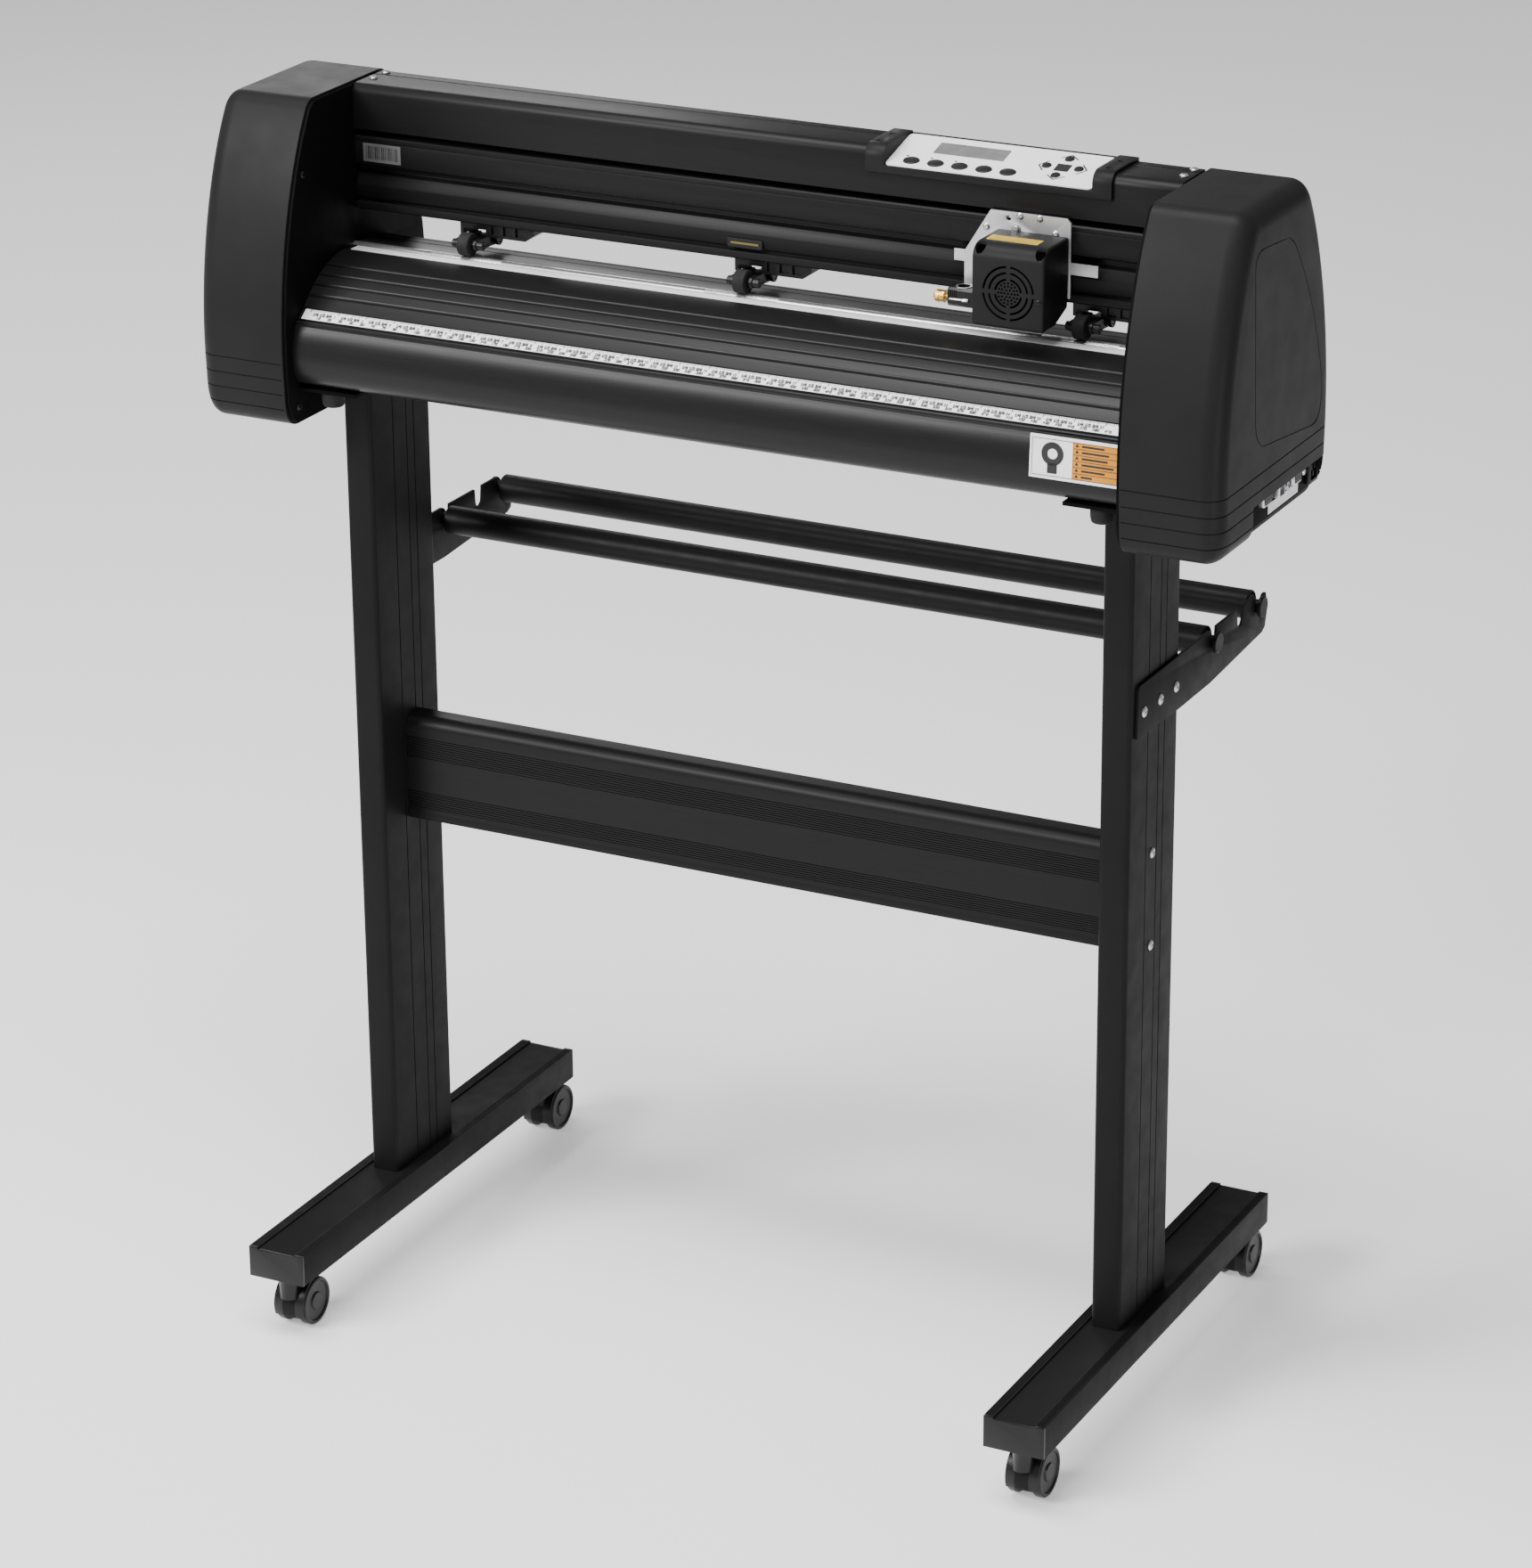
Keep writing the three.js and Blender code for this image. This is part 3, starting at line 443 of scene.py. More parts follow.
def refine(node, finish, body="root", edge=0.25):
    """A CAD node with its flats merged, its edges rounded and its curves shaded smooth."""
    only(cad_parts[node])
    bpy.ops.object.duplicate()
    thing = fresh(node.replace("_", "-"))
    for key in list(thing.keys()):
        del thing[key]
    thing.parent = None
    mode("EDIT")
    bpy.ops.mesh.select_all(action="SELECT")
    bpy.ops.mesh.remove_doubles(threshold=0.00001)
    bpy.ops.mesh.dissolve_limited(angle_limit=math.radians(1))
    mode("OBJECT")
    if edge:
        soften(thing, edge * MM, 2, 40)
    dress(thing, finish, body, [node], 35)


def arc(a, b, radius, start, end, steps):
    """Points on an arc, from one angle in degrees to another."""
    turns = [math.radians(start + (end - start) * k / steps) for k in range(steps + 1)]
    return [(a + radius * math.cos(t), b + radius * math.sin(t)) for t in turns]


def point_on(ends, t):
    """A place on the quadratic curve through a start, a pull and an end point."""
    s = 1 - t
    return tuple(s * s * u + 2 * s * t * v + t * t * w for u, v, w in zip(*ends))


def curve(p0, p1, p2, steps):
    """Points on a quadratic curve, without its first point."""
    return [point_on((p0, p1, p2), k / steps) for k in range(1, steps + 1)]


# ------------ screws
def pan_head(name, axis, at, outward, radius=3.6, height=1.9):
    """A pan-head screw with a cross recess. outward is +1 or -1 along the axis."""
    profile = [(0, 0), (0, radius), (0.35 * height, radius), (0.8 * height, 0.75 * radius),
               (height, 0.3 * radius)]
    a, b, t = at
    points = [(t + outward * s, r) for s, r in profile] + [(t + outward * height, 0)]
    head = turned(name, axis, points, a, b, 24)
    deep = [t + outward * 0.45 * height, t + outward * (height + 1)]
    for half_a, half_b in ((0.55 * radius, 0.13 * radius), (0.13 * radius, 0.55 * radius)):
        order = ORDER[axis]
        slot = block("slot", order(a - half_a, b - half_b, min(deep)),
                     order(a + half_a, b + half_b, max(deep)), 0)
        combine(head, slot)
    return head


def screws(name, axis, places, outward, finish="zinc", body="root", slot=None, **size):
    """Several screws as one piece: modelled once, then copied to each place."""
    order = ORDER[axis]
    first = pan_head(name, axis, places[0], outward, **size)
    a0, b0, t0 = places[0]
    rest = [
        twin(first, f"{name}_{k}", order(a - a0, b - b0, t - t0))
        for k, (a, b, t) in enumerate(places[1:])
    ]
    return settle(gather(name, [first, *rest]), finish, body)


# ------------ stand
SIDES = (("left", -1), ("right", 1))
POST_X = 333


def foot_beams():
    low, high = node_box("right_foot_beam")
    rim, inset, cap = 8.5, 1.5, 3
    x0, x1, z0, z1 = low.x, high.x, low.z, high.z
    rib = [(0, 0), (0.4, -0.5), (0.8, 0)]
    right_rim = [(x1 - s - d, z1 + h) for s in (2.2, 4.2, 6.2) for d, h in reversed(rib)]
    left_rim = [(x0 + s - d, z1 + h) for s in (6.2, 4.2, 2.2) for d, h in rib]
    section = [(x0, z0), (x1, z0), (x1, z1), *right_rim, (x1 - rim, z1), (x1 - rim, z1 - inset),
               (x0 + rim, z1 - inset), (x0 + rim, z1), *left_rim, (x0, z1)]
    plain = [(x0, z0), (x1, z0), (x1, z1), (x1 - rim, z1), (x1 - rim, z1 - inset),
             (x0 + rim, z1 - inset), (x0 + rim, z1), (x0, z1)]
    beam = bar("right-foot-beam", "Y", section, low.y + cap, high.y - cap)
    combine(beam, block("hollow", (x0 + 2.2, low.y, z0 + 2.2), (x1 - 2.2, high.y, z1 - inset - 2.2), 0))
    for y in (-204, 217):
        combine(beam, rod("stem_hole", "Z", 5.8, z0 - 1, z0 + 4, POST_X, y))
    soften(beam, 0.25, 2, 60)
    for where, start in (("front", low.y), ("rear", high.y - cap)):
        end = soften(bar(f"right-{where}-end-cap", "Y", plain, start, start + cap), 0.5)
        both_sides(end, "dark", False)
    both_sides(beam, "stand")


def posts():
    low, high = node_box("right_post")
    r, deep, half = 4, 0.8, 0.6
    grooves = (-12.5, 8.5, 20)
    right_side = [p for y in grooves for p in
                  ((high.x, y - half), (high.x - deep, y - half), (high.x - deep, y + half),
                   (high.x, y + half))]
    left_side = [(-x + low.x + high.x, y) for x, y in reversed(right_side)]
    outline = [
        *arc(high.x - r, low.y + r, r, -90, 0, 6), *right_side, *arc(high.x - r, high.y - r, r, 0, 90, 6),
        *arc(low.x + r, high.y - r, r, 90, 180, 6), *left_side, *arc(low.x + r, low.y + r, r, 180, 270, 6),
    ]
    both_sides(bar("right-post", "Z", outline, low.z, high.z), "stand")
    for side, sign in SIDES:
        outer = sign * (POST_X + 12.5)
        screws(f"{side}-post-screws", "X", [(0, 473, outer), (0, 395, outer)], sign, radius=4.2)


def stretcher():
    low, high = node_box("stretcher_panel")
    front, back, top, r = low.y, high.y, high.z, 10
    pitch, deep = 1.9, 0.7

    def ribs(start, end):
        count = round((start - end) / pitch)
        return [p for k in range(count) for p in (
            (front, start - k * pitch), (front, start - k * pitch - 1.0),
            (front + deep, start - k * pitch - 1.2),
            (front + deep, start - k * pitch - 1.7),
        )]

    outline = [
        (back, low.z), (back, top), *arc(front + r, top - r, r, 90, 180, 10),
        *ribs(top - 16.4, top - 35.2), (front, top - 35.6), *ribs(top - 64.4, top - 81.7),
        (front, top - 82.2),
        (front, low.z),
    ]
    settle(bar("stretcher-panel", "X", outline, low.x, high.x), "panel", replaces=["stretcher_panel"],
           smooth=40)


ROLLER_Z = 611.5
NOTCHES = {"rear": 203, "spare": 165.4, "front": 110}


def roll_brackets():
    low, high = node_box("right_roll_bracket")
    r, rim = 5.6, 622.5
    rear, spare, front = (arc(y, ROLLER_Z, r, 0, -180, 10) for y in NOTCHES.values())
    outline = [
        (-40, 581), (42, 578.5), (105, 578.6), (213, 586), (219, 589), (224, 605), (219, 618), (214, 618),
        *rear, (rear[-1][0], rim - 2), (rear[-1][0] - 2, rim), (spare[0][0] + 1, rim), *spare,
        (spare[-1][0] - 1, rim), (front[0][0] + 1, rim + 0.2), *front, (front[-1][0] - 1, rim + 0.4),
        (-35.5, 623.5), (-38.5, 620.5),
    ]
    both_sides(soften(bar("right-roll-bracket", "X", outline, low.x, high.x), 0.3, 2, 50), "stand")
    places = [(-28, 600), (3.5, 599.5), (34.6, 599.3)]
    for side, sign in SIDES:
        face = sign * high.x
        screws(f"{side}-bracket-screws", "X", [(y, z, face) for y, z in places], sign, radius=4.4)


def media_rollers():
    end = [(342, 5.3), (342, 8.6), (340.5, 8.8), (340.5, 10.2), (342, 10.4), (342, 11.4), (341.4, 11.9)]
    pin = [(353.5, 0), (353.5, 7.8), (352.8, 8.5), (350.5, 8.5), (350, 8.0), (350, 5.3)]
    half = pin + end
    profile = half + [(-t, r) for t, r in reversed(half)]
    first = turned("front-media-roller", "X", profile, NOTCHES["front"], ROLLER_Z, 56)
    rear = twin(first, "rear-media-roller", (0, NOTCHES["rear"] - NOTCHES["front"], 0))
    for roller, node in ((first, "front_media_roller"), (rear, "rear_media_roller")):
        settle(roller, "tube", node, [node])


CASTERS = {"front_left": (-333, -204), "front_right": (333, -204), "rear_left": (-333, 217),
           "rear_right": (333, 217)}
TRAIL, WHEEL_R = 19, 20.5


def caster_body(x, y):
    """The swivelling part: a hood over the wheels, a web between them, and the stem's socket."""
    cy = y + TRAIL
    inner, outer = WHEEL_R + 0.6, WHEEL_R + 1.8
    skin = arc(cy, WHEEL_R, outer, 80, 204, 24) + arc(cy, WHEEL_R, inner, 204, 80, 24)
    hood = soften(bar("hood", "X", skin, x - 14, x + 14), 0.3, 2, 50)
    web = bar("web", "X", [(cy, WHEEL_R), *arc(cy, WHEEL_R, outer, 80, 204, 24)], x - 6, x + 6)
    hub = rod("hub", "X", 8, x - 6, x + 6, cy, WHEEL_R)
    socket = turned("socket", "Z", [(30, 0), (30, 8), (47, 8.5), (50.4, 10.5), (51.6, 10.5), (51.6, 0)],
                    x, y, 36)
    for start, end in ((x - 20, x - 6.1), (x + 6.1, x + 20)):
        combine(socket, rod("room", "X", inner, start, end, cy, WHEEL_R, 48))
    stem = rod("stem", "Z", 5.5, 51, 64, x, y)
    return gather("caster", [hood, web, hub, socket, stem])


def caster_wheels(x, y):
    cy = y + TRAIL
    disc = [(6.5, 0), (6.5, 18), (7, 19.6), (8.2, 20.5), (13.2, 20.5), (14.4, 19.8), (15, 18.2), (14.7, 17),
            (13.6, 16.2), (13.4, 8), (14.6, 7), (14.8, 0)]
    right = turned("wheel", "X", [(x + t, r) for t, r in disc], cy, WHEEL_R, 56)
    left = turned("wheel", "X", [(x - t, r) for t, r in disc], cy, WHEEL_R, 56)
    return gather("wheels", [right, left, rod("axle", "X", 3, x - 7, x + 7, cy, WHEEL_R)])


def casters():
    x0, y0 = CASTERS["front_left"]
    body, wheels = caster_body(x0, y0), caster_wheels(x0, y0)
    for where, (x, y) in CASTERS.items():
        step = (x - x0, y - y0, 0)
        name = where.replace("_", "-")
        settle(twin(body, f"{name}-caster-body", step), "wheel", f"{where}_caster", [f"{where}_caster_fork"])
        settle(twin(wheels, f"{name}-caster-wheel-pair", step), "wheel", f"{where}_wheels",
               [f"{where}_caster_wheels"])
    bpy.data.objects.remove(body)
    bpy.data.objects.remove(wheels)


# ------------ end covers
INNER, OUTER, EDGE = 360, 440, 17
COVER_LOW, COVER_HIGH = 751.5, 1008.5
COVER_MIDDLE = (COVER_LOW + COVER_HIGH) / 2
GROOVES = (767, 779.5, 792, 805)


def cover_outline(inset=0.0):
    half = [
        (92, COVER_LOW),
        *curve((92, COVER_LOW), (109, COVER_LOW + 0.5), (110.5, COVER_LOW + 20), 10),
        (112, 800),
    ]
    p0, p1, p2, p3 = (112, 800), (114.5, 880), (90, 958), (64, 1000)
    for k in range(1, 19):
        t = k / 18
        s = 1 - t
        half.append(tuple(
            s ** 3 * a + 3 * s * s * t * b + 3 * s * t * t * c + t ** 3 * d
            for a, b, c, d in zip(p0, p1, p2, p3)
        ))
    half += curve((64, 1000), (59, COVER_HIGH), (50, COVER_HIGH), 8)
    ring = half + [(-y, z) for y, z in reversed(half)]
    wide, tall = 1 - inset / 112, 1 - inset / (COVER_HIGH - COVER_MIDDLE)
    return [(y * wide, COVER_MIDDLE + (z - COVER_MIDDLE) * tall) for y, z in ring]


def pick_faces(thing, wanted):
    """Selects the faces that a test picks out, in face mode, and leaves edit mode on."""
    only(thing)
    mode("EDIT")
    bpy.ops.mesh.select_mode(type="FACE")
    bpy.ops.mesh.select_all(action="DESELECT")
    mode("OBJECT")
    for face in thing.data.polygons:
        face.select = wanted(face)
    mode("EDIT")


def side_line(scale):
    """The outline engraved on a cover's outer side, scaled about its middle."""
    ring = [
        *curve((-54, 962), (-56, 982), (-34, 979.5), 8),
        *curve((4, 976.5), (16, 975.5), (26, 965.5), 6),
        *curve((26, 965.5), (70, 912), (88, 845), 12),
        *curve((88, 845), (92, 812), (70, 813), 8),
        *curve((-25, 824), (-45, 827), (-46.5, 850), 8),
    ]
    return [(16 + (y - 16) * scale, 895 + (z - 895) * scale) for y, z in ring]


def cover_shell():
    """The right cover without its ports: a rounded body, grooved low down, hollow from the machine's side."""
    shell = draw("shell", [(INNER, y, z) for y, z in cover_outline()])
    extrude((OUTER - EDGE - INNER, 0, 0))
    before_x, before = OUTER - EDGE, 0.0
    steps = 10
    for k in range(1, steps + 1):
        turn = math.pi / 2 * k / steps
        x, inset = OUTER - EDGE + EDGE * math.sin(turn), EDGE * (1 - math.cos(turn))
        extrude((x - before_x, 0, 0))
        wide = (112 - inset) / (112 - before)
        half = COVER_HIGH - COVER_MIDDLE
        tall = (half - inset) / (half - before)
        bpy.ops.transform.resize(value=(1, wide, tall), center_override=(x, 0, COVER_MIDDLE))
        before_x, before = x, inset
    bpy.ops.mesh.select_all(action="SELECT")
    bpy.ops.mesh.normals_make_consistent(inside=False)
    half_groove, deep, start = 0.5, 0.7, INNER + 1.5
    for z in (middle + d for middle in GROOVES for d in (-half_groove, half_groove)):
        bpy.ops.mesh.select_all(action="SELECT")
        bpy.ops.mesh.bisect(plane_co=(0, 0, z), plane_no=(0, 0, 1))
    bpy.ops.mesh.select_all(action="SELECT")
    bpy.ops.mesh.bisect(plane_co=(start, 0, 0), plane_no=(1, 0, 0))
    mode("OBJECT")
    pick_faces(shell, lambda face: face.center.x > start and any(
        abs(face.center.z - z) < half_groove for z in GROOVES))
    bpy.ops.mesh.extrude_region_shrink_fatten(TRANSFORM_OT_shrink_fatten={"value": -deep})
    mode("OBJECT")
    pick_faces(shell, lambda face: face.center.x < INNER + 0.01)
    bpy.ops.mesh.inset(thickness=3, use_even_offset=True)
    extrude((66, 0, 0))
    mode("OBJECT")
    ring = bar("ring", "X", side_line(1.0), OUTER - 0.5, OUTER + 1)
    combine(ring, bar("core", "X", side_line(0.985), OUTER - 1, OUTER + 2))
    return combine(shell, ring)


def end_covers():
    right = cover_shell()
    left = twin(right, "left-end-cover", mirror=True)
    right.name = "right-end-cover"
    combine(right, block("recess", (427.4, -45, 745), (OUTER + 5, 103, 782), 0))
    settle(left, "cover", replaces=["left_end_cover"], smooth=28)
    settle(right, "cover", replaces=["right_end_cover"], smooth=28)


def ports():
    """What the port panel carries: two data sockets, a round socket, a square socket and the mains inlet."""
    face = node_box("port_panel")[1].x
    refine("port_panel", "side", edge=0.2)
    screws("port-screws", "X", [(-40, 773, face), (80.8, 772, face)], 1, radius=3)

    def funnel(name, low_y, high_y, low_z, high_z, lean, start, end):
        outline = [(low_y, high_z), (low_y + lean, low_z), (high_y - lean, low_z), (high_y, high_z)]
        return bar(name, "X", outline, face + start, face + end)

    shells = [soften(funnel("socket_shell", *sides, 2.5, 0, 5), 0.8, 3, 40)
              for sides in ((-13, 7.6, 770.5, 780.5), (48, 67, 770, 780))]
    settle(gather("data-sockets", shells), "zinc")
    cores = []
    for low_y, high_y, low_z, high_z in ((-11, 5.6, 772, 779), (50, 65, 771.6, 778.6)):
        core = funnel("socket_core", low_y, high_y, low_z, high_z, 2, 4, 5.4)
        for k in range(5):
            y = low_y + 3.2 + k * (high_y - low_y - 6.4) / 4
            combine(core, rod("pin_hole", "X", 0.55, face + 4.6, face + 6, y, (low_z + high_z) / 2, 12))
        cores.append(core)
    settle(gather("data-socket-cores", cores), "dark")
    ring = turned("round-port", "X", [(face, 0), (face, 5), (face + 5, 5), (face + 5, 3.4), (face + 2, 3.4),
                                      (face + 2, 1), (face + 4.5, 0.7), (face + 4.5, 0)], 40.3, 775)
    settle(ring, "zinc")
    usb = block("square-port", (face, 17, 770), (face + 6, 29, 781), 0.6, 3)
    combine(usb, block("mouth", (face + 2, 18.4, 771.4), (face + 8, 27.6, 779.6), 0))
    settle(usb, "zinc")
    inlet = block("mains-inlet", (face, 84, 760), (face + 4, 102, 781), 1.2, 3)
    combine(inlet, block("mouth", (face + 1, 86.5, 763), (face + 6, 99.5, 778), 0))
    for y, z in ((90, 773), (96, 773), (93, 767.5)):
        combine(inlet, block("blade", (face + 0.7, y - 0.7, z - 2), (face + 3.4, y + 0.7, z + 2), 0), "UNION")
    settle(inlet, "dark")
    settle(block("port-label", (face, 9.3, 759), (face + 0.3, 69.5, 767), 0.1, 1), "white")


# ------------ platen
SHAFT_Z = 872.5
STRIP = (-18.6, -6.4)
CROWN = ((-18.6, 877.3), (-56, 874.5), (-81.7, 845.5))
FACET = ((-81.7, 845.5), (-91.3, 838.6))


RIBS = (0.40, 0.565, 0.715, 0.86)    # places along the crown's curve, from the back to the front
RIB_SHAPE = ((-0.030, 0), (-0.023, 0.9), (-0.016, 1.2), (-0.010, 1.0), (-0.006, 0.5), (-0.004, -0.2),
             (-0.002, -1.2), (0.009, -1.5), (0.012, 0))


def crown():
    """The platen's curved top in front of the cutting strip, with a raised lip and a groove at each rib."""
    steps = [(k / 40, 0) for k in range(41) if all(abs(k / 40 - rib) > 0.03 for rib in RIBS)]
    steps += [(rib + shift, lift) for rib in RIBS for shift, lift in RIB_SHAPE]
    found = []
    for t, lift in sorted(steps):
        y, z = point_on(CROWN, t)
        found.append((y, z + lift))
    return found


def platen():
    low, high = node_box("platen")
    top, bottom = 877.5, low.z
    channel = 7.4
    mouth = math.degrees(math.asin((top - SHAFT_Z) / channel))
    (y0, z0), (y1, z1) = FACET
    lip = [(y0 - 0.4, z0 - 2.4), (y0 - 1.2, z0 - 2.6), (y0 - 1.3, z0 - 1.1)]
    below = [(y1, z1), (y1 - 0.1, z1 - 1.6), (y1 - 0.9, z1 - 2.1), (y1 - 1.6, z1 - 1.3), (y1 - 2.4, z1 - 2.2),
             (y1 - 2.4, z1 - 3.8), (y1 - 3.2, z1 - 4.3)]
    nose = curve(FACET[1], (-100.5, 831), (-101.8, 808), 16)[3:]
    nose += curve((-101.8, 808), (-101.5, 783.5), (-80, bottom), 14)
    outline = [
        (52, bottom), (52, 872), (46, 873), (45, 872), (44, 873.3), (30, 875.3), (29, 874.4), (28, 875.6),
        (14, top),
        *arc(0, SHAFT_Z, channel, mouth, -180 - mouth, 28),
        (STRIP[1], top), (STRIP[1], top - 1), (STRIP[0], top - 1), *crown(), *lip, *below, *nose,
    ]
    body = bar("platen-body", "X", outline, low.x, high.x)
    core = [(-84, bottom + 4), (49, bottom + 4), (49, 862), (-40, 862), (-72, 842), (-90, 826), (-95, 800)]
    combine(body, bar("core", "X", core, low.x - 1, high.x + 1))
    settle(body, "platen", replaces=["platen"], smooth=24)
    strip = block("cutting-strip", (low.x + 6, STRIP[0] + 0.3, top - 0.9),
                  (high.x - 6, STRIP[1] - 0.3, top + 0.1), 0.15)
    settle(strip, "strip")


# The ruler lies on the platen's facet: u runs along x and v down the slope.
def facet_frame():
    (y0, z0), (y1, z1) = FACET
    down = Vector((0, y1 - y0, z1 - z0)).normalized()
    out = Vector((1, 0, 0)).cross(-down)
    out = out if out.z > 0 else -out
    turn = Matrix((Vector((1, 0, 0)), -down, out)).transposed().to_4x4()
    return Matrix.Translation((0, y0, z0)) @ turn


def lay(thing, matrix):
    thing.matrix_world = matrix @ thing.matrix_world
    return place(thing)


def repeat(thing, count, step):
    """A row of copies along x, as one piece."""
    return modify(thing, "ARRAY", count=count, use_relative_offset=False, use_constant_offset=True,
                  constant_offset_displace=(step, 0, 0))


def lettering(value, u, v, size, lift, bold=0.05):
    """Raised figures, as a mesh."""
    bpy.ops.object.select_all(action="DESELECT")
    bpy.ops.object.text_add(location=(u, v, lift))
    text = bpy.context.object
    text.data.body = str(value)
    text.data.size = size
    text.data.align_x = "CENTER"
    text.data.extrude = 0.02
    text.data.offset = bold
    text.data.resolution_u = 2
    bpy.ops.object.convert(target="MESH")
    return place(text)


def ruler():
    """A tape with inches and their quarters along the top, and millimetres along the bottom."""
    frame_of_tape = facet_frame()
    half, upper, lower, lift = 354, -1.4, -11.4, 0.1
    tape = block("ruler-tape", (-half, lower, -1.2), (half, upper, lift), 0.05, 1)
    settle(lay(tape, frame_of_tape), "white")
    start, inch = -349, 25.4
    marks = []
    for step, length, thick in ((inch / 16, 1.5, 0.55), (inch / 4, 2.1, 0.7), (inch, 2.9, 0.9)):
        tick = block("tick", (start, upper - length, lift), (start + thick, upper, lift + 0.05), 0)
        marks.append(repeat(tick, int(698 / step) + 1, step))
    marks.append(repeat(lettering("1/4 1/2 3/4", start + 12, upper - 5.8, 3.9, lift, 0.36), 27, inch))
    for k in range(1, 28):
        marks.append(lettering(k, start + inch * k - 2, upper - 5.8, 3.4, lift, 0.22))
    for k in range(1, 70):
        marks.append(lettering(10 * k, start + 10 * k, lower + 1.0, 3.6, lift, 0.28))
    settle(lay(gather("ruler-marks", marks), frame_of_tape), "ink")


def apron_label():
    """A plain two-colour notice on the platen's front, with blank rows in place of words."""
    wide, tall = 73, 33
    frame_of_label = Matrix.Translation((320, -101.9, 818.5)) @ Matrix.Rotation(math.radians(86), 4, "X")
    card = block("apron-label-card", (-wide / 2, -tall / 2, -1.4), (wide / 2, tall / 2, 0.15), 0.1, 1)
    settle(lay(card, frame_of_label), "white")
    left, right, lift = 0.5, wide / 2 - 2, 0.25
    field = block("apron-label-field", (left - 2, -tall / 2 + 2.5, 0), (right, tall / 2 - 2.5, lift), 0.05, 1)
    settle(lay(field, frame_of_label), "orange")
    rows = []
    pitch = (tall - 5) / 6
    for k in range(7):
        v = -tall / 2 + 2.5 + k * pitch
        rows.append(block("row", (left - 2, v - 0.25, lift), (right, v + 0.25, lift + 0.05), 0))
    for k, length in enumerate((9, 19, 26, 21, 22, 18)):
        v = -tall / 2 + 2.5 + (k + 0.5) * pitch
        rows.append(block("bar", (left + 5, v - 0.8, lift), (left + 5 + length, v + 0.8, lift + 0.05), 0))
        rows.append(rod("sign", "Z", 1.8, lift, lift + 0.05, left + 1.2, v, 3))
    x0, x1, y0, y1 = -wide / 2 + 2, left - 2, -tall / 2 + 2.5, tall / 2 - 2.5
    for low, high in (((x0, y0 - 0.2), (x1, y0 + 0.2)), ((x0, y1 - 0.2), (x1, y1 + 0.2)),
                      ((x0 - 0.2, y0), (x0 + 0.2, y1)), ((x1 - 0.2, y0), (x1 + 0.2, y1))):
        rows.append(block("rule", (*low, lift - 0.1), (*high, lift + 0.05), 0))
    mark = rod("mark", "Z", 9, lift - 0.1, lift + 0.05, -18, 3, 48)
    combine(mark, rod("core", "Z", 4, lift - 1, lift + 1, -18, 3, 40))
    rows += [mark, block("stem", (-22, -12, lift - 0.1), (-14, -4, lift + 0.05), 0)]
    settle(lay(gather("apron-label-print", rows), frame_of_label), "ink")


# ------------ beams
def top_beam():
    low, high = node_box("top_beam")
    front, back, top, bottom, wall, r = 3, 50, 1007.7, 971, 3, 8
    outline = [
        (front, bottom), (front + wall, bottom), (front + wall, top - r), (front + r, top - wall),
        (back - wall, top - wall), (back - wall, low.z), (back, low.z), (back, top), (38.7, top),
        (38.5, top - 0.9),
        (37.5, top - 0.9), (37.3, top), *arc(front + r, top - r, r, 90, 180, 12),
    ]
    beam = bar("top-beam", "X", outline, low.x, high.x)
    combine(beam, bar("recess", "X", slope(-3.8, 30, 30), 110.9, 289.1))
    settle(soften(beam, 0.3, 2, 50), "panel", replaces=["top_beam"], smooth=30)
    screws("beam-end-screws", "Z", [(sign * 350, y, top) for sign in (-1, 1) for y in (25, 44.5)],
           1, radius=3.4)


def rail_beam():
    low, high = node_box("rail_beam")
    outline = [
        (50, 905), (50, 965.5), (5.2, 965.5), (4, 964.3), (4, 961.4), (4.6, 961.2), (4.6, 960.4),
        (4, 960.2), (4, 944), (5, 942.4), (13, 939.5), (13, 935.8), (8.6, 933.6), (4.2, 926), (4.2, 924.8),
        (6, 914.6), (9, 913.8), (9, 911.6), (3.5, 911.2), (3.5, 906.2), (4.8, 905),
        (24, 905), (24, 908.7), (21, 908.7), (21, 913.2), (33, 913.2), (33, 908.7),
        (30, 908.7), (30, 905),
    ]
    beam = bar("rail-beam", "X", outline, low.x, high.x)
    combine(beam, block("core", (low.x - 1, 16, 917), (high.x + 1, 47, 962.5), 0))
    settle(soften(beam, 0.3, 2, 50), "panel", replaces=["rail_beam"], smooth=30)
    label = block("rail-label", (-349, 3.7, 945), (-314.5, 4, 960), 0.05, 1)
    settle(label, "label")
    bars = [
        block("line", (start, 3.62, 947.5), (start + 0.35 + 0.2 * (k * 7 % 4), 3.7, 958), 0)
        for k, start in enumerate(-346 + k * 1.55 for k in range(19))
    ]
    settle(gather("rail-label-lines", bars), "ink")
    settle(block("beam-notice", (-22, 3.4, 914.4), (8, 4.6, 921.4), 0.1, 1), "dark")
    settle(block("beam-notice-line", (-19, 3.3, 917.2), (5, 3.5, 918.8), 0), "gold")


